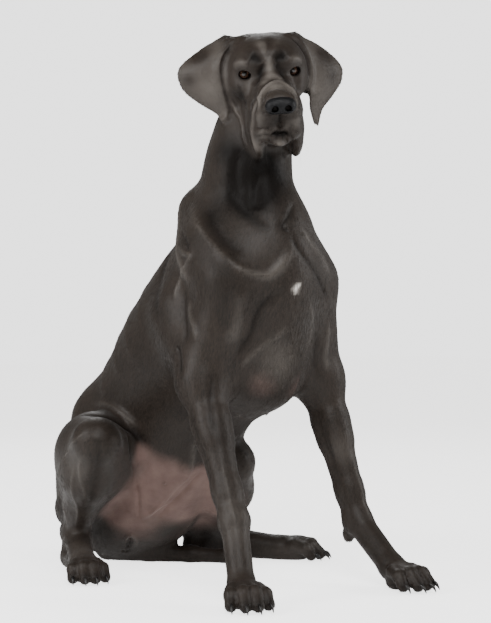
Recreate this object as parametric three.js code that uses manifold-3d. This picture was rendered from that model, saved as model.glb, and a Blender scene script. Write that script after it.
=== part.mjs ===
// A seated great dane at life size, parted into the pieces a person would name.
// Millimetres, +Z up. The dog faces -Y, its left side is +X, and it rests on z = 0.
// Each piece is a smooth field of rounded bones and muscles, cut into facets on a grid.
import * as THREE from "three";
import { mergeVertices } from "three/addons/utils/BufferGeometryUtils.js";
import Module from "manifold-3d";

const wasm = await Module();
wasm.setup();

// Driving sizes
const GAP = 0.3; // what neighbouring pieces keep between them
const MIRRORED = [["right", -1], ["left", 1]];

// Small vector helpers
const V = (x, y, z) => new THREE.Vector3(x, y, z);
const mix = (a, b, t) => a.clone().lerp(b, t);

// Smooth fields. Each takes a point's x, y, z and gives its distance to the form, negative inside.
function limb(a, b, ra, rb) {
  const axis = b.clone().sub(a);
  const long2 = axis.lengthSq();
  const taper = ra - rb;
  const slope2 = long2 - taper * taper;
  return (x, y, z) => {
    const px = x - a.x, py = y - a.y, pz = z - a.z;
    const along = px * axis.x + py * axis.y + pz * axis.z;
    const past = along - long2;
    const qx = px * long2 - axis.x * along;
    const qy = py * long2 - axis.y * along;
    const qz = pz * long2 - axis.z * along;
    const across = qx * qx + qy * qy + qz * qz;
    const side = Math.sign(taper) * taper * taper * across;
    if (Math.sign(past) * slope2 * past * past * long2 > side) {
      return Math.sqrt(across + past * past * long2) / long2 - rb;
    }
    if (Math.sign(along) * slope2 * along * along * long2 < side) {
      return Math.sqrt(across + along * along * long2) / long2 - ra;
    }
    return (Math.sqrt((across * slope2) / long2) + along * taper) / long2 - ra;
  };
}

function egg(centre, radii, ...axes) {
  const [i, j] = axes.length ? axes.map((v) => v.clone().normalize()) : [V(1, 0, 0), V(0, 1, 0)];
  const k = i.clone().cross(j).normalize();
  const jj = k.clone().cross(i);
  const [ri, rj, rk] = radii;
  return (x, y, z) => {
    const px = x - centre.x, py = y - centre.y, pz = z - centre.z;
    const di = (px * i.x + py * i.y + pz * i.z) / ri;
    const dj = (px * jj.x + py * jj.y + pz * jj.z) / rj;
    const dk = (px * k.x + py * k.y + pz * k.z) / rk;
    const near = Math.sqrt(di * di + dj * dj + dk * dk);
    const steep = Math.sqrt((di / ri) ** 2 + (dj / rj) ** 2 + (dk / rk) ** 2);
    return steep > 0 ? (near * (near - 1)) / steep : -Math.min(ri, rj, rk);
  };
}

function soften(a, b, k) {
  const h = Math.max(k - Math.abs(a - b), 0) / k;
  return Math.min(a, b) - (h * h * k) / 4;
}

const join = (k, ...fields) => (x, y, z) => fields.reduce((d, f) => soften(d, f(x, y, z), k), 1e3);
const carve = (k, field, ...tools) => (x, y, z) =>
  tools.reduce((d, f) => -soften(-d, f(x, y, z), k), field(x, y, z));

// Trunk: back and belly points down the middle of the body, with the half width at each
const TRUNK = [
  { back: V(0, -62, 738), belly: V(0, -212, 600), wide: 86, long: 110 },
  { back: V(0, 18, 722), belly: V(0, -234, 490), wide: 116, long: 135 },
  { back: V(0, 118, 624), belly: V(0, -199, 362), wide: 144, long: 145 },
  { back: V(0, 212, 514), belly: V(0, -74, 326), wide: 152, long: 145 },
  { back: V(0, 297, 404), belly: V(0, 24, 214), wide: 154, long: 140 },
  { back: V(0, 352, 284), belly: V(0, 84, 126), wide: 144, long: 122 },
  { back: V(0, 374, 164), belly: V(0, 166, 72), wide: 124, long: 90 },
];
const trunkForms = TRUNK.map(({ back, belly, wide, long }) => {
  const depth = back.distanceTo(belly) / 2;
  return egg(mix(back, belly, 0.5), [wide, depth, long], V(1, 0, 0), back.clone().sub(belly));
});

// Hips and rump, on which the dog sits
const rump = join(
  50,
  egg(V(-74, 264, 297), [78, 74, 78]),
  egg(V(66, 266, 298), [76, 74, 78]),
  egg(V(-1, 299, 82), [110, 79, 84]),
  egg(V(0, 336, 150), [92, 50, 95]),
);

// Shoulder blade, breast and upper foreleg of one side
const SHOULDER_TOP = V(50, -12, 730);
const SHOULDER_POINT = V(96, -168, 582);
const ELBOW = { right: V(-132, -128, 392), left: V(143, -152, 392) };
const CARPUS = { right: V(-163, -262, 146), left: V(166, -237, 120) };
const FOREPAW = { right: V(-208, -350, 0), left: V(161, -371, 0) };

function shoulder(name, side) {
  const top = V(side * SHOULDER_TOP.x, SHOULDER_TOP.y, SHOULDER_TOP.z);
  const point = V(side * SHOULDER_POINT.x, SHOULDER_POINT.y, SHOULDER_POINT.z);
  const elbow = ELBOW[name];
  return join(
    38,
    limb(top, mix(top, point, 0.75), 36, 60),
    limb(mix(top, point, 0.6), point, 66, 52),
    limb(point, elbow, 56, 42),
    limb(V(side * 98, -40, 520), elbow, 60, 38),
  );
}

const trunk = join(
  46,
  join(70, ...trunkForms),
  rump,
  shoulder("right", -1),
  shoulder("left", 1),
);

// Neck: from the shoulders up to the back of the skull
const neck = join(
  50,
  limb(V(0, -86, 680), V(-10, -113, 800), 103, 70),
  limb(V(-10, -113, 800), V(-5, -122, 852), 70, 60),
  limb(V(-5, -122, 852), V(-7, -128, 905), 60, 59),
  limb(V(2, -18, 722), V(0, -100, 862), 50, 40),
  limb(V(-2, -172, 640), V(-17, -139, 830), 64, 43),
);

// Forelegs, from the elbow to the toes
const TOES = 4;

function footField(at, heading, scale, pastern) {
  const side = V(-heading.y, heading.x, 0);
  const spot = (across, ahead, up) =>
    at.clone().addScaledVector(side, across * scale).addScaledVector(heading, ahead * scale)
      .add(V(0, 0, up * scale));
  const toes = [];
  const claws = [];
  for (let i = 0; i < TOES; i++) {
    const off = i - (TOES - 1) / 2;
    const middle = Math.abs(off) < 1;
    const reach = middle ? 50 : 34;
    const root = spot(off * 15, -6, 36);
    const knuckle = spot(off * 20, reach * 0.55, middle ? 36 : 31);
    const tip = spot(off * 22.5, reach, 15);
    toes.push(limb(root, knuckle, 15, 14.5), limb(knuckle, tip, 14.5, 12.5));
    claws.push({ root: spot(off * 22.8, reach + 3, 17), tip: spot(off * 24.5, reach + 24, 5) });
  }
  const pad = egg(spot(0, -12, 16), [30 * scale, 26 * scale, 20 * scale], side, heading);
  return { field: join(9, join(6, ...toes), pad, pastern(spot)), claws };
}

function foreleg(name) {
  const elbow = ELBOW[name], carpus = CARPUS[name], paw = FOREPAW[name];
  const heading = paw.clone().sub(carpus).setZ(0).normalize();
  const foot = footField(paw, heading, 1, (spot) =>
    join(12, limb(carpus, spot(0, -34, 40), 27, 25), limb(spot(0, -34, 40), spot(0, 0, 28), 25, 24)));
  const back = heading.clone().negate();
  const field = join(
    16,
    limb(elbow, mix(elbow, carpus, 0.42), 43, 35),
    limb(mix(elbow, carpus, 0.3), mix(elbow, carpus, 0.8), 37, 28),
    limb(mix(elbow, carpus, 0.78), carpus, 27, 29),
    egg(elbow.clone().addScaledVector(back, 34).add(V(0, 0, 4)), [24, 26, 34]),
    egg(carpus.clone().addScaledVector(back, 25).add(V(0, 0, -30)), [14, 14, 18]),
    foot.field,
  );
  return { field, claws: foot.claws, heading };
}

// Hind legs: hip, knee, hock and the foot that lies on the floor
const HIND = {
  right: {
    hip: V(-112, 248, 212), knee: V(-256, 42, 275), hock: V(-184, 222, 78),
    heel: V(-172, 254, 70), paw: V(-249, 86, 0), thigh: 88, instep: 34,
  },
  left: {
    hip: V(100, 250, 206), knee: V(58, 18, 220), hock: V(158, 184, 44),
    heel: V(122, 226, 46), paw: V(268, 53, 0), thigh: 81, instep: 25,
  },
};

function hindleg({ hip, knee, hock, heel, paw, thigh, instep }) {
  const heading = paw.clone().sub(hock).setZ(0).normalize();
  const foot = footField(paw, heading, 0.92, (spot) =>
    join(12, limb(hock, spot(0, -40, instep), 29, 25), limb(spot(0, -40, instep), spot(0, 0, 26), 25, 24)));
  const buttock = hip.clone().add(V(0, 66, -96));
  const haunch = join(
    40,
    limb(hip, mix(hip, knee, 0.5), thigh, thigh - 8),
    limb(mix(hip, knee, 0.45), knee, thigh - 16, 47),
    limb(buttock, mix(knee, hock, 0.3), 53, 45),
  );
  const shank = join(
    18,
    limb(knee, mix(knee, hock, 0.35), 44, 52),
    limb(mix(knee, hock, 0.35), mix(knee, hock, 0.75), 52, 31),
    limb(mix(knee, hock, 0.7), hock, 31, 27),
    limb(mix(knee, heel, 0.55), heel, 26, 17),
    limb(heel.clone().setZ(24), paw.clone().setZ(24), 21, 23),
    limb(heel, heel.clone().setZ(24), 18, 21),
    foot.field,
  );
  return { haunch, shank, claws: foot.claws };
}

const forelegs = Object.fromEntries(MIRRORED.map(([name]) => [name, foreleg(name)]));
const hindlegs = Object.fromEntries(MIRRORED.map(([name]) => [name, hindleg(HIND[name])]));

// Tail: laid forward along the floor from under the rump
const TAIL_THICK = [36, 31, 25, 21, 18, 16, 12];
const tailCurve = new THREE.CatmullRomCurve3([
  V(-8, 376, 96), V(-18, 390, 40), V(-36, 308, 24), V(8, 228, 20), V(66, 164, 17), V(116, 114, 14),
  V(152, 84, 11),
]);
const tailSpots = TAIL_THICK.map((_, i) => tailCurve.getPoint(i / (TAIL_THICK.length - 1)));
const tail = join(
  14,
  ...TAIL_THICK.slice(1).map((r, i) => limb(tailSpots[i], tailSpots[i + 1], TAIL_THICK[i], r)),
);

// Head: its own frame, with s to the dog's left, a ahead and h up from the point between the eyes
const EYES_MIDDLE = V(-30, -202, 977);
const HEAD_YAW = THREE.MathUtils.degToRad(31); // towards the dog's right
const HEAD_PITCH = THREE.MathUtils.degToRad(20); // nose down
const HEAD_ROLL = THREE.MathUtils.degToRad(5.5); // left eye higher

const turn = new THREE.Matrix4()
  .makeRotationZ(-HEAD_YAW)
  .multiply(new THREE.Matrix4().makeRotationX(HEAD_PITCH))
  .multiply(new THREE.Matrix4().makeRotationY(-HEAD_ROLL));
const headAxis = (x, y, z) => V(x, y, z).applyMatrix4(turn);
const LEFT = headAxis(1, 0, 0), AHEAD = headAxis(0, -1, 0), UP = headAxis(0, 0, 1);
const head = (s, a, h) => EYES_MIDDLE.clone()
  .addScaledVector(LEFT, s).addScaledVector(AHEAD, a).addScaledVector(UP, h);
const headEgg = (s, a, h, rs, ra, rh) => egg(head(s, a, h), [rs, ra, rh], LEFT, AHEAD);
const both = (make) => [make(-1), make(1)];

const EYE = { s: 46, a: -4, h: 0, r: 13 };
const eyeAt = (side) => head(side * EYE.s, EYE.a, EYE.h);
const NOSE = { a: 139, h: -31 };

const skull = join(
  22,
  headEgg(0, -62, 5, 70, 88, 56),
  ...both((w) => headEgg(w * 34, -62, 9, 46, 78, 48)),
  headEgg(0, -20, 22, 56, 50, 38),
  ...both((w) => headEgg(w * 50, -48, -20, 31, 58, 46)),
  ...both((w) => headEgg(w * 31, 4, 20, 20, 16, 14)),
  ...both((w) => limb(head(w * 66, -60, -8), head(w * 50, 12, -28), 16, 15)),
  limb(head(0, -60, -56), head(0, -84, -92), 56, 52),
);
const muzzle = join(
  14,
  limb(head(0, 0, -24), head(0, 118, -32), 36, 29),
  ...both((w) => limb(head(w * 16, 10, -22), head(w * 14, 126, -31), 24, 17)),
  ...both((w) => limb(head(w * 26, 26, -54), head(w * 20, 112, -56), 29, 24)),
  ...both((w) => limb(head(w * 28, 50, -90), head(w * 22, 110, -84), 24, 21)),
  ...both((w) => headEgg(w * 36, 52, -99, 18, 56, 54)),
);
const jaw = join(
  12,
  limb(head(0, 108, -98), head(0, 40, -102), 19, 28),
  limb(head(0, 40, -98), head(0, -50, -74), 32, 46),
);
const mouthLine = both((w) =>
  limb(head(w * 2, 134, -86), head(w * 24, 104, -150), 3.5, 6));
const nostrils = both((w) =>
  limb(head(w * 12, NOSE.a + 12, NOSE.h - 4), head(w * 17, NOSE.a + 2, NOSE.h - 5), 5, 4));
const noseLeather = carve(
  3,
  join(8, headEgg(0, NOSE.a, NOSE.h, 26, 14, 16),
    ...both((w) => headEgg(w * 15, NOSE.a - 1, NOSE.h - 2, 13, 14, 13))),
  ...nostrils,
);
const lids = both((w) => egg(eyeAt(w), [EYE.r + 4, EYE.r + 3.5, EYE.r + 3], LEFT, AHEAD));
const lidOpening = both((w) => egg(head(w * (EYE.s + 1), 14, 2), [10.5, 14, 7.6], LEFT, AHEAD));
const headField = carve(2, join(7, join(16, skull, muzzle, jaw), ...lids), ...lidOpening, ...mouthLine);

// Ears: leaves that rise from the skull, turn over and hang to a point, with a rolled front edge.
// Each edge is a list of points in the head's frame, from the root inside the skull to the tip.
const EAR = {
  rows: 18, columns: 7,
  thick: 6.4,
  rootRows: 0.16, // part of the length that runs out of the skull
  belly: 9, // how far the leaf bulges forward
  roll: 8, // how far the front edge turns forward
  lift: 4.6, // what the middle of the leaf keeps off the cheek and neck
  right: {
    front: [
      V(-34, -52, 26), V(-55, -52, 54), V(-71, -46, 45), V(-85, -38, 29), V(-91, -32, 9), V(-91, -26, -9),
      V(-88, -18, -31), V(-83, -12, -60), V(-75, -8, -96),
    ],
    rear: [
      V(-34, -96, 26), V(-64, -90, 56), V(-92, -84, 47), V(-126, -78, 30), V(-164, -70, 0), V(-158, -60, -33),
      V(-130, -46, -59), V(-100, -26, -77), V(-75, -8, -100),
    ],
  },
  left: {
    front: [
      V(34, -52, 26), V(56, -52, 54), V(70, -46, 41), V(77, -38, 17), V(80, -32, -6), V(80, -26, -28),
      V(82, -20, -48), V(80, -14, -76), V(89, -9, -116),
    ],
    rear: [
      V(34, -96, 26), V(62, -88, 54), V(84, -82, 42), V(114, -78, 24), V(152, -72, -16), V(148, -62, -42),
      V(126, -46, -67), V(104, -28, -86), V(90, -9, -120),
    ],
  },
};

function earField(name, side) {
  const edge = (spots) => new THREE.CatmullRomCurve3(
    spots.map((p) => head(p.x, p.y, p.z)), false, "centripetal");
  const front = edge(EAR[name].front), rear = edge(EAR[name].rear);
  const grid = [];
  for (let i = 0; i <= EAR.rows; i++) {
    const t = (i / EAR.rows) * 0.97;
    const a = front.getPoint(t), b = rear.getPoint(t);
    const fade = Math.sin(Math.PI * Math.min(t + 0.12, 1));
    grid.push([]);
    for (let j = 0; j <= EAR.columns; j++) {
      const w = (j / EAR.columns) ** 1.2;
      const crown = (EAR.belly * Math.sin(Math.PI * w) + EAR.roll * Math.exp(-((w / 0.12) ** 2))) * fade;
      const spot = mix(a, b, w).addScaledVector(AHEAD, crown);
      if (t > EAR.rootRows) drape(spot, EAR.lift);
      grid[i].push(spot);
    }
  }
  const root = limb(head(side * 30, -72, 22), head(side * 60, -70, 44), 21, 11);
  return join(10, sheet(grid, EAR.thick / 2), root);
}

// Moves a point out from the head and neck until it is clear of them
function drape(spot, clear) {
  for (let i = 0; i < 3; i++) {
    const d = neckHead(spot.x, spot.y, spot.z);
    if (d >= clear) return;
    const slope = V(
      neckHead(spot.x + 1, spot.y, spot.z) - d,
      neckHead(spot.x, spot.y + 1, spot.z) - d,
      neckHead(spot.x, spot.y, spot.z + 1) - d,
    );
    spot.addScaledVector(slope.normalize(), clear - d);
  }
}

// Field of a bent sheet: the distance to the triangles between a grid of points, less half its
// thickness
function sheet(grid, half) {
  const parts = [];
  for (let i = 0; i < grid.length - 1; i++) {
    for (let j = 0; j < grid[0].length - 1; j++) {
      const [a, b, c, d] = [grid[i][j], grid[i][j + 1], grid[i + 1][j + 1], grid[i + 1][j]];
      for (const spots of [[a, b, c], [a, c, d]]) {
        const ball = new THREE.Sphere().setFromPoints(spots);
        parts.push({ flat: new THREE.Triangle(...spots), middle: ball.center, round: ball.radius });
      }
    }
  }
  const point = V(0, 0, 0), foot = V(0, 0, 0);
  return (x, y, z) => {
    point.set(x, y, z);
    let least = Infinity;
    for (const { flat, middle, round } of parts) {
      if (point.distanceTo(middle) - round > least) continue;
      flat.closestPointToPoint(point, foot);
      least = Math.min(least, foot.distanceTo(point));
    }
    return least - half;
  };
}

// Where a grid face has its inside corners across a diagonal, two sheets would share an edge
// there, so the nearer outside corner is taken in
function unpinch(value, [nx, ny, nz]) {
  const steps = [1, nx, nx * ny];
  const counts = [nx, ny, nz];
  let found = true;
  while (found) {
    found = false;
    for (let f = 0; f < 3; f++) {
      const [p, q] = [0, 1, 2].filter((m) => m !== f);
      const last = [0, 0, 0];
      last[p] = 1;
      last[q] = 1;
      for (let k = 0; k < counts[2] - last[2]; k++) {
        for (let j = 0; j < counts[1] - last[1]; j++) {
          for (let i = 0; i < counts[0] - last[0]; i++) {
            const a = i + j * steps[1] + k * steps[2];
            const b = a + steps[p], c = b + steps[q], d = a + steps[q];
            const inside = [a, b, c, d].map((m) => value[m] < 0);
            if (inside[0] !== inside[2] || inside[1] !== inside[3] || inside[0] === inside[1]) continue;
            const [m, w] = inside[0] ? [b, d] : [a, c];
            value[value[m] < value[w] ? m : w] = -0.05;
            found = true;
          }
        }
      }
    }
  }
}

// Moves a facet's corner onto the form, by at most a third of a cell
function settle(field, [x, y, z], cell) {
  const step = 0.5, most = cell / 3;
  const d = field(x, y, z);
  const gx = (field(x + step, y, z) - d) / step;
  const gy = (field(x, y + step, z) - d) / step;
  const gz = (field(x, y, z + step) - d) / step;
  const move = Math.max(-most, Math.min(most, d)) / Math.max(gx * gx + gy * gy + gz * gz, 0.3);
  return [x - gx * move, y - gy * move, z - gz * move];
}

// Facets: surface nets over a grid of one cell size
function facet(field, low, high, cell) {
  const n = ["x", "y", "z"].map((k) => Math.ceil((high[k] - low[k]) / cell) + 1);
  const [nx, ny, nz] = n;
  const id = (i, j, k) => (k * ny + j) * nx + i;
  const value = new Float32Array(nx * ny * nz);
  for (let k = 0; k < nz; k++) {
    for (let j = 0; j < ny; j++) {
      for (let i = 0; i < nx; i++) {
        const edge = i === 0 || j === 0 || k === 0 || i === nx - 1 || j === ny - 1 || k === nz - 1;
        const d = field(low.x + i * cell, low.y + j * cell, low.z + k * cell);
        value[id(i, j, k)] = edge ? Math.max(d, cell * 0.2) : d || 1e-4;
      }
    }
  }
  unpinch(value, n);
  const spots = [], index = [], net = new Int32Array(value.length).fill(-1);
  const corners = [0, 1, 2, 3, 4, 5, 6, 7].map((c) => [c & 1, (c >> 1) & 1, c >> 2]);
  const edges = [];
  corners.forEach((p, a) => corners.forEach((q, b) => {
    if (a < b && p.reduce((s, v, m) => s + Math.abs(v - q[m]), 0) === 1) edges.push([a, b]);
  }));
  for (let k = 0; k < nz - 1; k++) {
    for (let j = 0; j < ny - 1; j++) {
      for (let i = 0; i < nx - 1; i++) {
        const v = corners.map(([a, b, c]) => value[id(i + a, j + b, k + c)]);
        let count = 0, sx = 0, sy = 0, sz = 0;
        for (const [a, b] of edges) {
          if ((v[a] < 0) === (v[b] < 0)) continue;
          const t = v[a] / (v[a] - v[b]);
          const p = corners[a], q = corners[b];
          sx += p[0] + t * (q[0] - p[0]);
          sy += p[1] + t * (q[1] - p[1]);
          sz += p[2] + t * (q[2] - p[2]);
          count++;
        }
        if (!count) continue;
        net[id(i, j, k)] = spots.length / 3;
        const steps = [i + sx / count, j + sy / count, k + sz / count];
        const spot = low.toArray().map((start, axis) => start + steps[axis] * cell);
        spots.push(...settle(field, spot, cell));
      }
    }
  }
  const quad = (a, b, c, d, flip) => index.push(...(flip ? [a, c, b, a, d, c] : [a, b, c, a, c, d]));
  for (let k = 0; k < nz - 1; k++) {
    for (let j = 0; j < ny - 1; j++) {
      for (let i = 0; i < nx - 1; i++) {
        const inside = value[id(i, j, k)] < 0;
        if (j && k && inside !== value[id(i + 1, j, k)] < 0) {
          quad(net[id(i, j - 1, k - 1)], net[id(i, j, k - 1)], net[id(i, j, k)],
            net[id(i, j - 1, k)], !inside);
        }
        if (i && k && inside !== value[id(i, j + 1, k)] < 0) {
          quad(net[id(i - 1, j, k - 1)], net[id(i - 1, j, k)], net[id(i, j, k)],
            net[id(i, j, k - 1)], !inside);
        }
        if (i && j && inside !== value[id(i, j, k + 1)] < 0) {
          quad(net[id(i - 1, j - 1, k)], net[id(i, j - 1, k)], net[id(i, j, k)],
            net[id(i - 1, j, k)], !inside);
        }
      }
    }
  }
  const geometry = new THREE.BufferGeometry();
  geometry.setAttribute("position", new THREE.BufferAttribute(new Float32Array(spots), 3));
  geometry.setIndex(index);
  return geometry;
}

// Thins out facets: the edge that bends the form least is drawn together first, until only
// the given share of the faces is left. Each vertex keeps the planes that it has stood on.
const MOST_TURN = 0.35; // least cosine between a face before and after

function thin(geometry, keep) {
  if (keep >= 1) return geometry;
  const place = geometry.attributes.position.array;
  const spots = Array.from({ length: place.length / 3 }, (_, i) => new THREE.Vector3().fromArray(place, 3 * i));
  let faces = [];
  const index = geometry.index.array;
  for (let i = 0; i < index.length; i += 3) faces.push([index[i], index[i + 1], index[i + 2]]);
  const target = faces.length * keep;
  const planes = spots.map(() => new Float64Array(10));
  const facing = ([a, b, c], moved = {}) => {
    const [p, q, r] = [moved[a] ?? spots[a], moved[b] ?? spots[b], moved[c] ?? spots[c]];
    return q.clone().sub(p).cross(r.clone().sub(p));
  };
  for (const face of faces) {
    const n = facing(face);
    const area = n.length();
    n.divideScalar(area || 1);
    const w = -n.dot(spots[face[0]]);
    const q = [n.x, n.y, n.z, w];
    for (const v of face) {
      let m = 0;
      for (let i = 0; i < 4; i++) for (let j = i; j < 4; j++) planes[v][m++] += q[i] * q[j] * area;
    }
  }
  const bend = (q, p) =>
    q[0] * p.x * p.x + 2 * q[1] * p.x * p.y + 2 * q[2] * p.x * p.z + 2 * q[3] * p.x +
    q[4] * p.y * p.y + 2 * q[5] * p.y * p.z + 2 * q[6] * p.y + q[7] * p.z * p.z + 2 * q[8] * p.z + q[9];
  let stuck = 0;
  while (faces.length > target && stuck < 3) {
    const touching = spots.map(() => []);
    faces.forEach((face) => face.forEach((v) => touching[v].push(face)));
    const edges = [];
    for (const face of faces) {
      for (let i = 0; i < 3; i++) {
        const a = face[i], b = face[(i + 1) % 3];
        if (a > b) continue;
        const q = planes[a].map((v, m) => v + planes[b][m]);
        const choices = [mix(spots[a], spots[b], 0.5), spots[a], spots[b]];
        const costs = choices.map((p) => bend(q, p) + 1e-3 * p.distanceToSquared(choices[0]));
        const best = costs.indexOf(Math.min(...costs));
        edges.push({ a, b, q, spot: choices[best], cost: costs[best] });
      }
    }
    edges.sort((m, n) => m.cost - n.cost);
    const busy = new Uint8Array(spots.length);
    const gone = new Set();
    let left = faces.length;
    for (const { a, b, q, spot } of edges.slice(0, Math.ceil(edges.length * 0.3))) {
      if (left <= target) break;
      if (busy[a] || busy[b]) continue;
      const near = [a, b].map((v) => new Set(touching[v].flat()));
      const shared = [...near[0]].filter((v) => v !== a && v !== b && near[1].has(v));
      if (shared.length !== 2) continue;
      const round = [...touching[a], ...touching[b]]
        .filter((face) => !(face.includes(a) && face.includes(b)));
      const turned = round.some((face) => {
        const before = facing(face), after = facing(face, { [a]: spot, [b]: spot });
        return before.dot(after) < MOST_TURN * before.length() * after.length() || after.length() < 1e-3;
      });
      if (turned) continue;
      near.forEach((ring) => ring.forEach((v) => { busy[v] = 1; }));
      touching[a].filter((face) => face.includes(b)).forEach((face) => gone.add(face));
      touching[b].forEach((face) => { face[face.indexOf(b)] = a; });
      spots[a] = spot.clone();
      planes[a] = q;
      left -= 2;
    }
    stuck = left < faces.length ? 0 : stuck + 1;
    faces = faces.filter((face) => !gone.has(face));
  }
  const number = new Map();
  const kept = [];
  const order = faces.flat().map((v) => {
    if (!number.has(v)) {
      number.set(v, number.size);
      kept.push(spots[v].x, spots[v].y, spots[v].z);
    }
    return number.get(v);
  });
  const result = new THREE.BufferGeometry();
  result.setAttribute("position", new THREE.BufferAttribute(new Float32Array(kept), 3));
  result.setIndex(order);
  return result;
}

// Solids: joining and cutting closed meshes
function solid(geometry) {
  const bare = geometry.clone();
  bare.deleteAttribute("normal");
  bare.deleteAttribute("uv");
  const merged = mergeVertices(bare, 1e-4);
  return new wasm.Manifold(new wasm.Mesh({
    numProp: 3,
    vertProperties: new Float32Array(merged.attributes.position.array),
    triVerts: new Uint32Array(merged.index.array),
  }));
}

function surface(body) {
  const mesh = body.getMesh();
  const geometry = new THREE.BufferGeometry();
  geometry.setAttribute("position", new THREE.BufferAttribute(new Float32Array(mesh.vertProperties), 3));
  geometry.setIndex(new THREE.BufferAttribute(new Uint32Array(mesh.triVerts), 1));
  return geometry;
}

// Takes out the needles and flat caps that cutting leaves: a short edge is drawn together, and
// the long edge of a flat facet is turned to join the corners across it
const SLIVER = 0.04; // facets lower than this go
const SHORT = 0.25; // edges of such facets up to this length are drawn together

function neaten(geometry) {
  const place = geometry.attributes.position.array;
  const spot = (i) => V(place[3 * i], place[3 * i + 1], place[3 * i + 2]);
  let faces = [];
  const index = geometry.index.array;
  for (let i = 0; i < index.length; i += 3) faces.push([index[i], index[i + 1], index[i + 2]]);
  const height = ([a, b, c]) => {
    const [p, q, r] = [spot(a), spot(b), spot(c)];
    const long = Math.max(p.distanceTo(q), q.distanceTo(r), r.distanceTo(p));
    return q.sub(p).cross(r.sub(p)).length() / (long || 1);
  };
  const near = (v) => faces.filter((f) => f.includes(v));
  const collapse = (a, b) => {
    const rings = [a, b].map((v) => new Set(near(v).flat()));
    if ([...rings[0]].filter((v) => v !== a && v !== b && rings[1].has(v)).length !== 2) return false;
    faces = faces.filter((f) => !(f.includes(a) && f.includes(b)));
    faces.forEach((f) => { if (f.includes(b)) f[f.indexOf(b)] = a; });
    return true;
  };
  const mend = (face) => {
    const lengths = face.map((v, i) => spot(v).distanceTo(spot(face[(i + 1) % 3])));
    const shortest = lengths.indexOf(Math.min(...lengths));
    const shortEnds = [face[shortest], face[(shortest + 1) % 3]];
    if (lengths[shortest] < SHORT) return collapse(...shortEnds);
    const long = lengths.indexOf(Math.max(...lengths));
    const a = face[long], b = face[(long + 1) % 3], c = face[(long + 2) % 3];
    const across = faces.find((f) => f !== face && f.includes(a) && f.includes(b));
    const d = across.find((v) => v !== a && v !== b);
    if (near(c).some((f) => f.includes(d))) return collapse(...shortEnds);
    face.splice(0, 3, a, d, c);
    across.splice(0, 3, d, b, c);
    return true;
  };
  for (let pass = 0; pass < 6; pass++) {
    const poor = faces.filter((f) => height(f) < SLIVER);
    poor.forEach((f) => faces.includes(f) && height(f) < SLIVER && mend(f));
    if (!poor.length) break;
  }
  geometry.setIndex(faces.flat());
  return geometry;
}

const largest = (body) => body.decompose().sort((a, b) => b.volume() - a.volume())[0];

// A long box whose near face is the plane through a point, looking along a direction
const BLOCK = 2000;
function block(at, towards, width = BLOCK, deep = BLOCK) {
  const geometry = new THREE.BoxGeometry(width, width, deep);
  geometry.translate(0, 0, deep / 2);
  const spin = new THREE.Quaternion().setFromUnitVectors(V(0, 0, 1), towards.clone().normalize());
  geometry.applyQuaternion(spin);
  geometry.translate(at.x, at.y, at.z);
  return solid(geometry);
}
const floorBlock = block(V(0, 0, 0), V(0, 0, -1));

// Coats: deep blue-grey hide, dark horn and leather, amber eyes
const hide = new THREE.MeshStandardMaterial({ color: 0x45413e, roughness: 0.6, metalness: 0 });
const leather = new THREE.MeshStandardMaterial({ color: 0x26262b, roughness: 0.35, metalness: 0 });
const glass = new THREE.MeshStandardMaterial({ color: 0x5a3a24, roughness: 0.08, metalness: 0 });

const dog = new THREE.Group();
const pieces = [];

function place(name, body, material) {
  const mesh = new THREE.Mesh(neaten(surface(largest(body))), material);
  mesh.name = name;
  pieces.push(mesh);
}

// A box round a set of points, grown by a margin
function around(margin, ...spots) {
  const box = new THREE.Box3().setFromPoints(spots).expandByScalar(margin);
  return [box.min, box.max];
}

// Claw: a curved, tapered cone of few sides, sunk well into the toe
const CLAW = { sides: 6, thick: 5, sunk: 12 };
function claw({ root, tip }) {
  const along = tip.clone().sub(root);
  const length = along.length() + CLAW.sunk;
  const geometry = new THREE.ConeGeometry(CLAW.thick, length, CLAW.sides);
  geometry.translate(0, length / 2 - CLAW.sunk, 0);
  geometry.applyQuaternion(new THREE.Quaternion().setFromUnitVectors(V(0, 1, 0), along.normalize()));
  geometry.translate(root.x, root.y, root.z);
  return solid(geometry);
}

// Whole fields, so that pieces parted by a plane meet with the same outline
const bodyField = join(30, trunk, neck);
const standField = join(26, bodyField, ...Object.values(forelegs).map((leg) => leg.field));
const neckHead = join(26, bodyField, headField);

// Facets of a form, and the same facets drawn in by the gap, so that what is cut by the
// first clears the second
function sculpt(field, cell, [low, high], keep = 1) {
  const full = thin(facet(field, low, high, cell), keep);
  const drawn = full.clone();
  drawn.computeVertexNormals();
  const { position, normal } = drawn.attributes;
  for (let i = 0; i < position.count; i++) {
    position.setXYZ(
      i,
      position.getX(i) - normal.getX(i) * GAP * 1.2,
      position.getY(i) - normal.getY(i) * GAP * 1.2,
      position.getZ(i) - normal.getZ(i) * GAP * 1.2,
    );
  }
  return { full: solid(full), inner: solid(drawn) };
}

// Planes between pieces: a point and the direction of the outer piece
const CUTS = {
  nape: { at: head(0, -70, -70), out: head(0, 0, 0).sub(head(0, -62, -100)) },
  withers: { at: V(0, -96, 722), out: V(0, -0.5, 0.87) },
};
const beyond = ({ at, out }, width, deep) =>
  block(at.clone().addScaledVector(out.clone().normalize(), GAP / 2), out, width, deep);
const before = ({ at, out }, width, deep) =>
  block(at.clone().addScaledVector(out.clone().normalize(), -GAP / 2), out.clone().negate(), width, deep);

const clearing = ({ at, out }, width, deep) =>
  block(at.clone().addScaledVector(out.clone().normalize(), -GAP / 2), out, width, deep);

// Grid cells, coarse on the trunk and fine on the head and feet
const CELL = { trunk: 20, neck: 18, head: 5.6, nose: 4.5, ear: 3, thigh: 16, leg: 11, paw: 6.5, tail: 10 };
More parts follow.
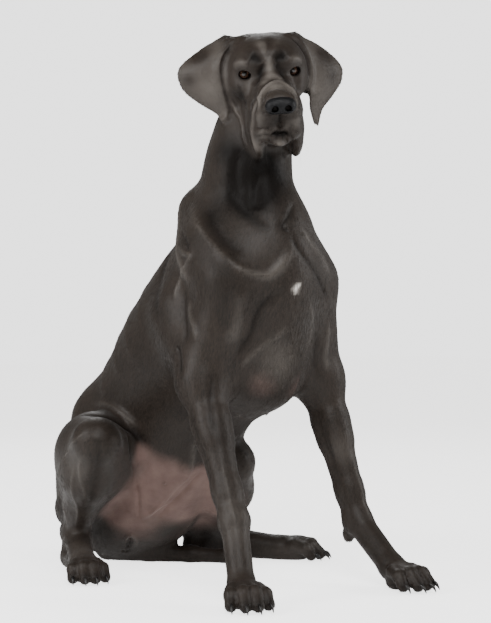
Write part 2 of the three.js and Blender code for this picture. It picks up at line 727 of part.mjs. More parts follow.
// Share of the facets kept once flat places are thinned out
const KEEP = {
  trunk: 0.28, neck: 0.3, head: 0.18, nose: 0.4, ear: 0.042, thigh: 0.3, leg: 0.32, paw: 0.25, tail: 0.34,
};

// Trunk, neck and head
const TRUNK_TIPS = [V(0, 420, 0), V(-200, -400, 0), V(230, -400, 0), V(0, 0, 860)];
const trunkForm = sculpt(standField, CELL.trunk, around(24, ...TRUNK_TIPS), KEEP.trunk);
const neckForm = sculpt(neckHead, CELL.neck, around(20, V(-160, -300, 640), V(160, 120, 940)), KEEP.neck);
const headForm = sculpt(
  neckHead, CELL.head,
  around(12, ...both((w) => head(w * 84, -150, 70)), ...both((w) => head(w * 60, 160, -135)),
    ...both((w) => head(w * 90, -160, -120))),
  KEEP.head,
);
const noseForm = sculpt(
  noseLeather, CELL.nose, around(24, head(-22, NOSE.a, NOSE.h), head(22, NOSE.a, NOSE.h)), KEEP.nose);

function eyeball(side, radius) {
  const geometry = new THREE.SphereGeometry(radius, 14, 10);
  const spot = eyeAt(side);
  geometry.translate(spot.x, spot.y, spot.z);
  return solid(geometry);
}

// Planes across the limbs
const legCut = (name) => {
  const elbow = ELBOW[name], carpus = CARPUS[name];
  return { at: mix(elbow, carpus, 0.24), out: carpus.clone().sub(elbow) };
};
const wristCut = (name) => ({
  at: mix(ELBOW[name], CARPUS[name], 0.9), out: CARPUS[name].clone().sub(ELBOW[name]),
});
const hockCut = (name) => {
  const { hock, paw } = HIND[name];
  return { at: mix(hock, paw, 0.3), out: paw.clone().sub(hock).setZ(0) };
};
const LEG_WIDTH = 132, PAW_WIDTH = 170;

let stand = trunkForm.inner.intersect(before(CUTS.withers)).subtract(floorBlock);
for (const [name] of MIRRORED) {
  const cut = legCut(name);
  stand = stand.subtract(block(cut.at, cut.out, LEG_WIDTH, 700));
}
place("torso", stand, hide);
place("neck", neckForm.inner.intersect(beyond(CUTS.withers)).intersect(before(CUTS.nape)), hide);

let face = headForm.inner.intersect(beyond(CUTS.nape)).subtract(noseForm.full);
for (const [name, side] of MIRRORED) {
  face = face.subtract(eyeball(side, EYE.r + GAP));
  place(`eye_${name}`, eyeball(side, EYE.r), glass);
}
place("head", face, hide);
place("nose", noseForm.inner, leather);
for (const [name, side] of MIRRORED) {
  const { front, rear } = EAR[name];
  const earForm = sculpt(earField(name, side), CELL.ear,
    around(18, ...[...front, ...rear].map((p) => head(p.x, p.y, p.z))), KEEP.ear);
  place(`ear_${name}`, earForm.inner.subtract(headForm.full).subtract(neckForm.full), hide);
}

// Forelegs and forepaws
for (const [name] of MIRRORED) {
  const elbow = ELBOW[name], paw = FOREPAW[name];
  const { claws, heading } = forelegs[name];
  const legForm = sculpt(standField, CELL.leg, around(70, elbow, paw), KEEP.leg);
  const upper = { ...legCut(name) }, lower = wristCut(name);
  const start = upper.at.clone().addScaledVector(upper.out.clone().normalize(), GAP);
  place(`foreleg_${name}`, legForm.inner.intersect(block(start, upper.out, LEG_WIDTH - 2 * GAP, 700))
    .intersect(before(lower)), hide);
  const pawForm = sculpt(forelegs[name].field, CELL.paw, around(52, wristCut(name).at, paw,
    paw.clone().addScaledVector(heading, 40)), KEEP.paw);
  const foot = claws.reduce((body, c) => body.add(claw(c)), pawForm.inner);
  place(`forepaw_${name}`, foot.intersect(beyond(lower)).subtract(floorBlock), hide);
}

// Tail, then hind legs, each cut clear of what it lies against
const tailForm = sculpt(tail, CELL.tail, around(44, ...tailSpots), KEEP.tail);
const tailCut = { at: tailSpots[3], out: tailSpots[4].clone().sub(tailSpots[2]).setZ(0) };
const tailBody = tailForm.inner.subtract(trunkForm.full).subtract(floorBlock);
place("tail_root", tailBody.intersect(before(tailCut)), hide);
place("tail_tip", tailBody.intersect(beyond(tailCut)), hide);

for (const [name] of MIRRORED) {
  const { hip, knee, hock, heel, paw, thigh } = HIND[name];
  const { haunch, shank, claws } = hindlegs[name];
  const thighForm = sculpt(haunch, CELL.thigh, around(thigh + 60, hip, knee), KEEP.thigh);
  const shankForm = sculpt(shank, CELL.leg, around(70, knee, hock, heel, paw), KEEP.leg);
  const pawForm = sculpt(shank, CELL.paw, around(60, hock, heel, paw), KEEP.paw);
  const clear = (body) => body.subtract(trunkForm.full).subtract(tailForm.full).subtract(floorBlock);
  place(`thigh_${name}`, clear(thighForm.inner), hide);
  const cut = hockCut(name);
  const side = (body) => body.subtract(trunkForm.full).subtract(tailForm.full)
    .subtract(thighForm.full).subtract(floorBlock);
  place(`shank_${name}`, side(shankForm.inner.subtract(clearing(cut, 400, 400))), hide);
  const foot = claws.reduce((body, c) => body.add(claw(c)), pawForm.inner);
  place(`hindpaw_${name}`, side(foot.intersect(beyond(cut, 400, 400))), hide);
}

// The dog stands with the middle of its underside at the origin
const box = new THREE.Box3();
pieces.forEach((piece) => box.expandByObject(piece));
const middle = box.getCenter(V(0, 0, 0));
dog.add(...pieces);
dog.position.set(-middle.x, -middle.y, -box.min.z);
dog.userData.shift = dog.position.clone();

export default dog;
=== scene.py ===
# A seated great dane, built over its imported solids: skin, short coat, eyes, nose and claws.
# Shapes are worked out in millimetres, in the pose's own frame, and set into the scene in metres.
# The dog faces -Y and its left side is +X.
import math

import bpy
import numpy as np
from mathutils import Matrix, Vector
from mathutils.bvhtree import BVHTree

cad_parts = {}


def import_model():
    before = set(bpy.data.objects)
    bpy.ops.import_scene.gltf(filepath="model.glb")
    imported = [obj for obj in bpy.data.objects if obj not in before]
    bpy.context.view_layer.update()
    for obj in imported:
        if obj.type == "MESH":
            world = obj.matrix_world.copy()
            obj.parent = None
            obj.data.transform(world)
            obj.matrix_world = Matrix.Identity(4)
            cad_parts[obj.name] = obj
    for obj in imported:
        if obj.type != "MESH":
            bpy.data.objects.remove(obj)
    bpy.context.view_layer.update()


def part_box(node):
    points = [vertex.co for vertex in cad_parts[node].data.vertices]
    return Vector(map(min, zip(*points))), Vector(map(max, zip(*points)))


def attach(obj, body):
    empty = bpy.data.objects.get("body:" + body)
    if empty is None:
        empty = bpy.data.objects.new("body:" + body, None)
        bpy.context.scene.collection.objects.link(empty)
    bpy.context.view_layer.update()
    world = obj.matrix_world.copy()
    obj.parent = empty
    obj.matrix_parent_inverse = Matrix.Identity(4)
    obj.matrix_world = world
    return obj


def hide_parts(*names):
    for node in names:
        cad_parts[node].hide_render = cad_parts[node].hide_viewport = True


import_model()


# Trunk, rump, shoulders and neck
# The deep chest, tucked belly, upright shoulders and arched neck of a sitting dog: flesh under tight skin.
# Each is a soft union of eggs and tapered limbs, which later become one skin with the legs and head.
def unit(v):
    return np.asarray(v, float) / np.linalg.norm(v)


def mix(a, b, t):
    return np.asarray(a, float) * (1 - t) + np.asarray(b, float) * t


def point(x, y, z):
    return np.array([x, y, z], float)


FAR = 1e3  # the distance given for points outside a form's ball
REACH = 95  # how far outside a form its distance still matters


def near(middle, radius, exact, reach=REACH):
    """A field: takes points in rows and gives their distances to the form, negative inside."""
    def field(p):
        result = np.full(len(p), FAR, np.float32)
        close = ((p - middle) ** 2).sum(1) < (radius + reach) ** 2
        if close.any():
            result[close] = exact(p[close])
        return result

    return field


def limb(a, b, ra, rb):
    a, b = np.asarray(a, float), np.asarray(b, float)
    length = np.linalg.norm(b - a)
    axis = (b - a) / length
    lean = (ra - rb) / length
    slope = math.sqrt(1 - lean * lean)

    def exact(p):
        q = p - a
        t = q @ axis
        across = np.sqrt(np.maximum((q * q).sum(1) - t * t, 0))
        k = slope * t - lean * across
        return np.where(
            k < 0,
            np.hypot(across, t) - ra,
            np.where(k > slope * length, np.hypot(across, t - length) - rb, slope * across + lean * t - ra),
        )

    return near((a + b) / 2, length / 2 + max(ra, rb), exact)


def egg(centre, radii, i=(1, 0, 0), j=(0, 1, 0)):
    i = unit(i)
    k = unit(np.cross(i, unit(j)))
    turn = np.array([i, np.cross(k, i), k])
    radii = np.asarray(radii, float)

    def exact(p):
        d = (p - centre) @ turn.T / radii
        size = np.sqrt((d * d).sum(1))
        steep = np.sqrt(((d / radii) ** 2).sum(1)) + 1e-9
        return size * (size - 1) / steep

    return near(np.asarray(centre, float), radii.max(), exact)


def soften(a, b, k):
    h = np.maximum(k - np.abs(a - b), 0) / k
    return np.minimum(a, b) - h * h * k / 4


def join(k, *fields):
    def field(p):
        d = fields[0](p)
        for f in fields[1:]:
            d = soften(d, f(p), k)
        return d

    return field


def carve(k, field, *tools):
    def cut(p):
        d = field(p)
        for f in tools:
            d = -soften(-d, f(p), k)
        return d

    return cut


TRUNK = [  # back, belly, half width, half length
    ((0, -62, 738), (0, -212, 600), 86, 110),
    ((0, 18, 722), (0, -234, 490), 116, 135),
    ((0, 118, 624), (0, -199, 362), 144, 145),
    ((0, 212, 514), (0, -74, 326), 152, 145),
    ((0, 297, 404), (0, 24, 214), 154, 140),
    ((0, 352, 284), (0, 84, 126), 144, 122),
    ((0, 374, 164), (0, 166, 72), 124, 90),
]
SIDES = {"right": -1, "left": 1}
SHOULDER_TOP = (50, -12, 730)
SHOULDER_POINT = (96, -168, 582)
ELBOW = {"right": point(-132, -128, 392), "left": point(143, -152, 392)}
CARPUS = {"right": point(-163, -262, 146), "left": point(166, -237, 120)}
FOREPAW = {"right": point(-208, -350, 0), "left": point(161, -371, 0)}


def trunk_form():
    forms = []
    for back, belly, wide, long in TRUNK:
        depth = math.dist(back, belly) / 2
        forms.append(egg(mix(back, belly, 0.5), (wide, depth, long), (1, 0, 0), np.subtract(back, belly)))
    rump = join(
        50,
        egg((-74, 264, 297), (78, 74, 78)),
        egg((66, 266, 298), (76, 74, 78)),
        egg((-1, 299, 82), (110, 79, 84)),
        egg((0, 336, 150), (92, 50, 95)),
    )
    shoulders = []
    for name, side in SIDES.items():
        top = np.multiply(SHOULDER_TOP, (side, 1, 1))
        tip = np.multiply(SHOULDER_POINT, (side, 1, 1))
        shoulders.append(join(
            38,
            limb(top, mix(top, tip, 0.75), 36, 60),
            limb(mix(top, tip, 0.6), tip, 66, 52),
            limb(tip, ELBOW[name], 56, 42),
            limb((side * 98, -40, 520), ELBOW[name], 60, 38),
        ))
    return join(46, join(70, *forms), rump, *shoulders)


def neck_form():
    return join(
        50,
        limb((0, -86, 680), (-10, -113, 800), 103, 70),
        limb((-10, -113, 800), (-5, -122, 852), 70, 60),
        limb((-5, -122, 852), (-7, -128, 905), 60, 59),
        limb((2, -18, 722), (0, -100, 862), 50, 40),
        limb((-2, -172, 640), (-17, -139, 830), 64, 43),
    )


# Legs and feet
# Long straight forelegs with thick wrists, folded hind legs laid outward, and arched toes with dark claws.
# Each leg is a row of tapered limbs between its real joints, with a foot that a loop fills with toes.
TOES = 4
HIND = {
    "right": dict(hip=point(-112, 248, 212), knee=point(-256, 42, 275), hock=point(-184, 222, 78),
                  heel=point(-172, 254, 70), paw=point(-249, 86, 0), thigh=88, instep=34),
    "left": dict(hip=point(100, 250, 206), knee=point(58, 18, 220), hock=point(158, 184, 44),
                 heel=point(122, 226, 46), paw=point(268, 53, 0), thigh=81, instep=25),
}
claw_spots = []


def foot(at, heading, scale, pastern):
    side = point(-heading[1], heading[0], 0)

    def spot(across, ahead, up):
        return at + side * across * scale + heading * ahead * scale + point(0, 0, up * scale)

    toes = []
    for i in range(TOES):
        off = i - (TOES - 1) / 2
        middle = abs(off) < 1
        reach = 50 if middle else 34
        knuckle = spot(off * 20, reach * 0.55, 36 if middle else 31)
        toes.append(limb(spot(off * 15, -6, 36), knuckle, 15, 14.5))
        toes.append(limb(knuckle, spot(off * 22.5, reach, 15), 14.5, 12.5))
        claw_spots.append((spot(off * 22.8, reach + 3, 17), spot(off * 24.5, reach + 24, 5)))
    pad = egg(spot(0, -12, 16), np.multiply((30, 26, 20), scale), side, heading)
    return join(9, join(4, *toes), pad, pastern(spot))


def level(v):
    return unit((v[0], v[1], 0))


def foreleg_form(name):
    elbow, carpus, paw = ELBOW[name], CARPUS[name], FOREPAW[name]
    heading = level(paw - carpus)
    toes = foot(paw, heading, 1, lambda spot: join(
        12, limb(carpus, spot(0, -34, 40), 27, 25), limb(spot(0, -34, 40), spot(0, 0, 28), 25, 24)))
    return join(
        16,
        limb(elbow, mix(elbow, carpus, 0.42), 43, 35),
        limb(mix(elbow, carpus, 0.3), mix(elbow, carpus, 0.8), 37, 28),
        limb(mix(elbow, carpus, 0.78), carpus, 27, 29),
        egg(elbow - heading * 34 + point(0, 0, 4), (24, 26, 34)),
        egg(carpus - heading * 25 + point(0, 0, -30), (14, 14, 18)),
        toes,
    )


def hindleg_forms(name):
    spots = HIND[name]
    hip, knee, hock, heel, paw = (spots[joint] for joint in ("hip", "knee", "hock", "heel", "paw"))
    thigh, instep = spots["thigh"], spots["instep"]
    buttock = hip + point(0, 66, -96)
    haunch = join(
        40,
        limb(hip, mix(hip, knee, 0.5), thigh, thigh - 8),
        limb(mix(hip, knee, 0.45), knee, thigh - 16, 47),
        limb(buttock, mix(knee, hock, 0.3), 53, 45),
    )
    low_heel, low_paw = heel * (1, 1, 0) + point(0, 0, 24), paw + point(0, 0, 24)
    toes = foot(paw, level(paw - hock), 0.92, lambda spot: join(
        12, limb(hock, spot(0, -40, instep), 29, 25), limb(spot(0, -40, instep), spot(0, 0, 26), 25, 24)))
    shank = join(
        18,
        limb(knee, mix(knee, hock, 0.35), 44, 52),
        limb(mix(knee, hock, 0.35), mix(knee, hock, 0.75), 52, 31),
        limb(mix(knee, hock, 0.7), hock, 31, 27),
        limb(mix(knee, heel, 0.55), heel, 26, 17),
        limb(low_heel, low_paw, 21, 23),
        limb(heel, low_heel, 18, 21),
        toes,
    )
    return haunch, shank


def curve(spots, t):
    """Points on a centripetal Catmull-Rom curve through spots, at shares t of its length in spots."""
    spots = np.asarray(spots, float)
    first, last = 2 * spots[0] - spots[1], 2 * spots[-1] - spots[-2]
    p = np.vstack([first, spots, last])
    out = []
    for value in np.atleast_1d(t) * (len(spots) - 1):
        i = min(int(value), len(spots) - 2)
        w = value - i
        q = p[i:i + 4]
        s = np.sqrt(np.linalg.norm(np.diff(q, axis=0), axis=1)) + 1e-6
        m1 = ((q[1] - q[0]) / s[0] - (q[2] - q[0]) / (s[0] + s[1]) + (q[2] - q[1]) / s[1]) * s[1]
        m2 = ((q[2] - q[1]) / s[1] - (q[3] - q[1]) / (s[1] + s[2]) + (q[3] - q[2]) / s[2]) * s[1]
        out.append((2 * w**3 - 3 * w**2 + 1) * q[1] + (w**3 - 2 * w**2 + w) * m1
                   + (3 * w**2 - 2 * w**3) * q[2] + (w**3 - w**2) * m2)
    return np.array(out)


TAIL_THICK = [36, 31, 25, 21, 18, 16, 12]
TAIL = [
    (-8, 376, 96), (-18, 390, 40), (-36, 308, 24), (8, 228, 20), (66, 164, 17), (116, 114, 14), (152, 84, 11),
]


def tail_form():
    lengths = zip(TAIL, TAIL[1:], TAIL_THICK, TAIL_THICK[1:])
    return join(14, *(limb(*length) for length in lengths))


# Head
# A long square head with a broad muzzle, loose hanging lips, set-in eyes and a shallow line of mouth.
# It has its own frame, with s to the dog's left, a ahead and h up from between the eyes.
EYES_MIDDLE = point(-30, -202, 977)
HEAD_TURNS = (math.radians(31), math.radians(20), math.radians(5.5))  # yaw right, pitch down, roll


def head_axes():
    yaw, pitch, roll = HEAD_TURNS
    c, s = math.cos, math.sin
    about_z = np.array([[c(yaw), s(yaw), 0], [-s(yaw), c(yaw), 0], [0, 0, 1]])
    about_x = np.array([[1, 0, 0], [0, c(pitch), -s(pitch)], [0, s(pitch), c(pitch)]])
    about_y = np.array([[c(roll), 0, -s(roll)], [0, 1, 0], [s(roll), 0, c(roll)]])
    turn = about_z @ about_x @ about_y
    return turn @ point(1, 0, 0), turn @ point(0, -1, 0), turn @ point(0, 0, 1)


LEFT, AHEAD, UP = head_axes()


def head(s, a, h):
    return EYES_MIDDLE + LEFT * s + AHEAD * a + UP * h


def head_egg(s, a, h, *radii):
    return egg(head(s, a, h), radii, LEFT, AHEAD)


def both(make):
    return [make(-1), make(1)]


EYE = dict(s=46, a=-4, h=0, r=13)
NOSE = dict(a=139, h=-31)


def head_form():
    skull = join(
        22,
        head_egg(0, -62, 5, 70, 88, 56),
        *both(lambda w: head_egg(w * 34, -62, 9, 46, 78, 48)),
        head_egg(0, -20, 22, 56, 50, 38),
        *both(lambda w: head_egg(w * 50, -48, -20, 31, 58, 46)),
        *both(lambda w: head_egg(w * 31, 4, 20, 20, 16, 14)),
        *both(lambda w: limb(head(w * 66, -60, -8), head(w * 50, 12, -28), 16, 15)),
        limb(head(0, -60, -56), head(0, -84, -92), 56, 52),
    )
    muzzle = join(
        14,
        limb(head(0, 0, -24), head(0, 118, -32), 36, 29),
        *both(lambda w: limb(head(w * 16, 10, -22), head(w * 14, 126, -31), 24, 17)),
        *both(lambda w: limb(head(w * 26, 26, -54), head(w * 20, 112, -56), 29, 24)),
        *both(lambda w: limb(head(w * 28, 50, -90), head(w * 22, 110, -84), 24, 21)),
        *both(lambda w: head_egg(w * 36, 52, -99, 18, 56, 54)),
    )
    jaw = join(
        12,
        limb(head(0, 108, -98), head(0, 40, -102), 19, 28),
        limb(head(0, 40, -98), head(0, -50, -74), 32, 46),
    )
    mouth = both(lambda w: limb(head(w * 2, 134, -86), head(w * 24, 104, -150), 3.5, 6))
    lids = both(lambda w: egg(head(w * EYE["s"], EYE["a"], EYE["h"]),
                              (EYE["r"] + 4, EYE["r"] + 3.5, EYE["r"] + 3), LEFT, AHEAD))
    openings = both(lambda w: head_egg(w * (EYE["s"] + 1), 14, 2, 10.5, 14, 7.6))
    return carve(2, join(7, join(16, skull, muzzle, jaw), *lids), *openings, *mouth)


def nose_hollows():
    a, h = NOSE["a"], NOSE["h"]
    nostrils = both(lambda w: limb(head(w * 12, a + 13, h - 4), head(w * 14, a + 4, h - 5), 5.8, 4.2))
    slits = both(lambda w: limb(head(w * 17, a + 8, h - 7), head(w * 27, a - 2, h - 11), 2.6, 1.6))
    return nostrils, slits


def nose_form():
    a, h = NOSE["a"], NOSE["h"]
    nostrils, slits = nose_hollows()
    groove = limb(head(0, a + 16, h - 3), head(0, a + 12, h - 20), 1.3, 1.6)
    wings = both(lambda w: head_egg(w * 15, a - 1, h - 2, 13, 14, 13))
    pad = join(8, head_egg(0, a, h, 26, 14, 16), *wings)
    return carve(1.5, carve(3, pad, *nostrils), *slits, groove)


# Ears
# Thin natural leaves of gristle and skin that rise from the skull, turn over and hang to a point.
# Each is a bent sheet between a front and a rear edge, bedded on the cheek along part of its front edge.
EAR = dict(rows=28, columns=8, thick=6.4, root_rows=0.16, belly=9, roll=8, lift=4.6)
EAR_EDGES = {
    "right": (
        [(-34, -52, 26), (-55, -52, 54), (-71, -46, 45), (-85, -38, 29), (-91, -32, 9), (-91, -26, -9),
         (-88, -18, -31), (-83, -12, -60), (-75, -8, -96)],
        [(-34, -96, 26), (-64, -90, 56), (-92, -84, 47), (-126, -78, 30), (-164, -70, 0), (-158, -60, -33),
         (-130, -46, -59), (-100, -26, -77), (-75, -8, -100)],
    ),
    "left": (
        [(34, -52, 26), (56, -52, 54), (70, -46, 41), (77, -38, 17), (80, -32, -6), (80, -26, -28),
         (82, -20, -48), (80, -14, -76), (89, -9, -116)],
        [(34, -96, 26), (62, -88, 54), (84, -82, 42), (114, -78, 24), (152, -72, -16), (148, -62, -42),
         (126, -46, -67), (104, -28, -86), (90, -9, -120)],
    ),
}
EAR_BEDS = {"right": 8, "left": 5}  # how many spots of the front edge lie on the head
SHEET_REACH = 40
STOUTER = 4.5  # how much thicker on each face the ears are for the coarse grid


def slope_of(field, p, step=0.5):
    d = field(p)
    moved = [(field(p + step * np.eye(3)[i]) - d) / step for i in range(3)]
    return d, np.stack(moved, 1)


def ear_grid(name, under):
    front, rear = ([head(*p) for p in edge] for edge in EAR_EDGES[name])
    t = np.arange(EAR["rows"] + 1) / EAR["rows"] * 0.97
    w = (np.arange(EAR["columns"] + 1) / EAR["columns"]) ** 1.2
    a, b = curve(front, t)[:, None], curve(rear, t)[:, None]
    fade = np.sin(np.pi * np.minimum(t + 0.12, 1))
    crown = EAR["belly"] * np.sin(np.pi * w) + EAR["roll"] * np.exp(-((w / 0.12) ** 2))
    crown = crown[None] * fade[:, None]
    grid = a * (1 - w[None, :, None]) + b * w[None, :, None] + crown[..., None] * AHEAD
    free = t > EAR["root_rows"]
    spots = grid[free].reshape(-1, 3)
    for _ in range(3):
        d, slope = slope_of(under, spots, 1)
        slope /= np.linalg.norm(slope, axis=1)[:, None] + 1e-9
        spots = spots + slope * np.maximum(EAR["lift"] - d, 0)[:, None]
    grid[free] = spots.reshape(grid[free].shape)
    return grid


def sheet(grid, half):
    """Distance to the triangles between a grid of points, less half the sheet's thickness."""
    a, b, c, d = grid[:-1, :-1], grid[:-1, 1:], grid[1:, 1:], grid[1:, :-1]
    flats = np.concatenate([np.stack([a, b, c], 2), np.stack([a, c, d], 2)]).reshape(-1, 3, 3)
    middle = flats.reshape(-1, 3).mean(0)
    radius = np.linalg.norm(flats.reshape(-1, 3) - middle, axis=1).max()

    def exact(p):
        least = np.full(len(p), FAR)
        for a, b, c in flats:
            centre = (a + b + c) / 3
            ball = max(np.linalg.norm(v - centre) for v in (a, b, c))
            close = np.linalg.norm(p - centre, axis=1) - ball < least
            if close.any():
                least[close] = np.minimum(least[close], triangle_distance(p[close], a, b, c))
        return least - half

    return near(middle, radius, exact, SHEET_REACH)


def triangle_distance(p, a, b, c):
    ab, ac, ap = b - a, c - a, p - a
    normal = np.cross(ab, ac)
    size = normal @ normal + 1e-12
    w = np.cross(ab, ap) @ normal / size
    v = np.cross(ap, ac) @ normal / size
    inside = (v >= 0) & (w >= 0) & (v + w <= 1)
    flat = np.abs(ap @ normal) / math.sqrt(size)
    edges = []
    for s, e in ((a, b), (b, c), (c, a)):
        along = np.clip((p - s) @ (e - s) / ((e - s) @ (e - s) + 1e-12), 0, 1)
        edges.append(np.linalg.norm(p - s - along[:, None] * (e - s), axis=1))
    return np.where(inside, flat, np.minimum.reduce(edges))


# The forms by name, with the ears last because they lie on the head and neck.
PARTS = {"trunk": trunk_form(), "neck": neck_form(), "head": head_form(), "tail": tail_form()}
body = join(30, PARTS["trunk"], PARTS["neck"])
neck_head = join(26, body, PARTS["head"])
for name, side in SIDES.items():
    PARTS["foreleg_" + name] = foreleg_form(name)
for name, side in SIDES.items():
    PARTS["thigh_" + name], PARTS["shank_" + name] = hindleg_forms(name)
for name, side in SIDES.items():
    grid = ear_grid(name, neck_head)
    root = limb(head(side * 30, -72, 22), head(side * 60, -70, 44), 21, 11)
    front = [head(*p) for p in EAR_EDGES[name][0][1:EAR_BEDS[name]]]
    bed = [limb(a - LEFT * side * 8, b - LEFT * side * 8, 8, 8) for a, b in zip(front, front[1:])]
    PARTS["ear_" + name] = join(10, sheet(grid, EAR["thick"] / 2), root, *bed)
    PARTS["stout_ear_" + name] = join(10, sheet(grid, EAR["thick"] / 2 + STOUTER), root, *bed)


# Skin
# The dog's hide: one closed mesh over every part of flesh, so that no seam shows between them.
# It is netted over a grid, settled on the form a coat's depth in, and made finer on the head and feet.
SKIN_DEPTH = 1.6  # how far the skin lies inside the solids, for the coat over it
CELL = 6.6
BLOCK = 4  # cells along each side of a block that is passed over when the skin is far from it
CHUNK = 20000  # points worked out at a time
SKIN_BOX = ((-360, -470, -30), (340, 460, 1110))
FINE_ABOUT = {"forepaw": 88, "hindpaw": 80, "eye": 30}  # how far round each the mesh is finer


def skin_form(ear="ear_"):
    legs = join(26, body, PARTS["foreleg_right"], PARTS["foreleg_left"])
    haunches = join(24, legs, PARTS["thigh_right"], PARTS["thigh_left"])
    whole = join(16, haunches, PARTS["shank_right"], PARTS["shank_left"], PARTS["tail"])
    headed = join(26, whole, PARTS["head"])
    eared = join(14, headed, PARTS[ear + "right"], PARTS[ear + "left"])
    balls = both(lambda w: egg(head(w * EYE["s"], EYE["a"], EYE["h"]), (EYE["r"] + 2,) * 3))
    return carve(1, eared, *balls)


def in_chunks(work, p):
    """Works a field out in chunks, so that forms far from a chunk are skipped at once."""
    return [work(p[i:i + CHUNK]) for i in range(0, len(p), CHUNK)]


def nets(field, low, high, cell):
    """The points and four-sided faces of the surface where a field is nought, from a grid of cells."""
    low, high = np.asarray(low, float), np.asarray(high, float)
    n = (np.ceil((high - low) / cell / BLOCK).astype(int)) * BLOCK + 1
    rough = np.stack(np.meshgrid(*(np.arange(0, m, BLOCK) for m in n), indexing="ij"), -1)
    shape = rough.shape[:3]
    coarse = np.concatenate(in_chunks(field, low + rough.reshape(-1, 3) * cell)).reshape(shape)
    near_block = np.zeros(np.subtract(shape, 1), bool)
    corners = [(i, j, k) for i in (0, 1) for j in (0, 1) for k in (0, 1)]
    for i, j, k in corners:
        part = coarse[i:shape[0] - 1 + i, j:shape[1] - 1 + j, k:shape[2] - 1 + k]
        near_block |= np.abs(part) < cell * BLOCK * 1.8
    nearest = [np.minimum((np.arange(m) + BLOCK // 2) // BLOCK, s - 1) for m, s in zip(n, shape)]
    value = coarse[np.ix_(*nearest)].astype(np.float32)
    wanted = np.zeros(n, bool)
    fine = near_block.repeat(BLOCK, 0).repeat(BLOCK, 1).repeat(BLOCK, 2)
    for i, j, k in corners:
        wanted[i:n[0] - 1 + i, j:n[1] - 1 + j, k:n[2] - 1 + k] |= fine
    spots = np.argwhere(wanted)
    value[wanted] = np.concatenate(in_chunks(field, low + spots * cell))
    inside = value < 0
    count = np.zeros(n - 1, np.int8)
    for i, j, k in corners:
        count += inside[i:n[0] - 1 + i, j:n[1] - 1 + j, k:n[2] - 1 + k]
    cells = np.argwhere((count > 0) & (count < 8))
    index = np.full(n - 1, -1, np.int64)
    index[tuple(cells.T)] = np.arange(len(cells))
    at = {c: value[tuple((cells + c).T)] for c in corners}
    total, crossings = np.zeros((len(cells), 3)), np.zeros(len(cells))
    for a in corners:
        for axis in range(3):
            if a[axis]:
                continue
            b = tuple(a[m] + (m == axis) for m in range(3))
            crossed = (at[a] < 0) != (at[b] < 0)
            t = np.where(crossed, at[a] / (at[a] - at[b] + 1e-20), 0)
            total += crossed[:, None] * (np.array(a) + t[:, None] * np.eye(3)[axis])
            crossings += crossed
    vertices = low + (cells + total / crossings[:, None]) * cell
    quads = []
    for axis in range(3):
        p, q = [m for m in range(3) if m != axis]
        a = np.moveaxis(inside, axis, 0)
        edge = np.argwhere((a[1:] != a[:-1])[:, 1:-1, 1:-1]) + (0, 1, 1)
        spot = np.zeros_like(edge)
        spot[:, axis], spot[:, p], spot[:, q] = edge.T
        flip = inside[tuple(spot.T)] ^ (axis == 1)
        step_p, step_q = np.eye(3, dtype=int)[p], np.eye(3, dtype=int)[q]
        ring = [index[tuple((spot - m).T)] for m in (step_p + step_q, step_q, 0 * step_p, step_p)]
        quad = np.stack(ring, 1)
        quad[~flip] = quad[~flip][:, ::-1]
        quads.append(quad)
    return vertices, np.concatenate(quads)


def settle(field, p, depth=0.0, times=2, most=3.0):
    """Moves points onto the form, drawn in by a depth."""
    for _ in range(times):
        parts = in_chunks(lambda q: slope_of(field, q), p)
        d, slope = (np.concatenate(x) for x in zip(*parts))
        size = np.maximum((slope**2).sum(1), 0.3)
        p = p - slope * (np.clip(d + depth, -most, most) / size)[:, None]
    return p


def refine(p, tris, chosen):
    """Splits the chosen triangles in four, and their neighbours as far as they share a split edge."""
    ends = np.sort(np.stack([tris, np.roll(tris, -1, 1)], 2), 2)
    key = ends[..., 0] * len(p) + ends[..., 1]
    marked = np.unique(key[chosen])
    split = np.isin(key, marked)
    middle = len(p) + np.searchsorted(marked, key)
    new = (p[marked // len(p)] + p[marked % len(p)]) / 2
    out = [tris[~split.any(1)]]
    for pattern in range(1, 8):
        flags = np.array([(pattern >> m) & 1 for m in range(3)], bool)
        rows = (split == flags).all(1)
        if not rows.any():
            continue
        turn = {1: 0, 2: 1, 4: 2, 3: 0, 6: 1, 5: 2, 7: 0}[pattern]
        t, m = np.roll(tris[rows], -turn, 1), np.roll(middle[rows], -turn, 1)
        a, b, c = t.T
        ab, bc, ca = m.T
        if flags.sum() == 1:
            pieces = [(a, ab, c), (ab, b, c)]
        elif flags.sum() == 2:
            pieces = [(ab, b, bc), (a, ab, bc), (a, bc, c)]
        else:
            pieces = [(a, ab, ca), (ab, b, bc), (ca, bc, c), (ab, bc, ca)]
        out += [np.stack(piece, 1) for piece in pieces]
    return np.vstack([p, new]), np.concatenate(out)


def faces_of(p, tris):
    """The way each triangle faces, as long as twice its area."""
    return np.cross(p[tris[:, 1]] - p[tris[:, 0]], p[tris[:, 2]] - p[tris[:, 0]])


def sized(v):
    return v / (np.linalg.norm(v, axis=1)[:, None] + 1e-12)


def normals_of(p, tris):
    face = faces_of(p, tris)
    total = np.zeros_like(p)
    for m in range(3):
        for axis in range(3):
            total[:, axis] += np.bincount(tris[:, m], face[:, axis], len(p))
    return sized(total)


def in_head(p):
    q = p - EYES_MIDDLE
    return q @ LEFT, q @ AHEAD, q @ UP


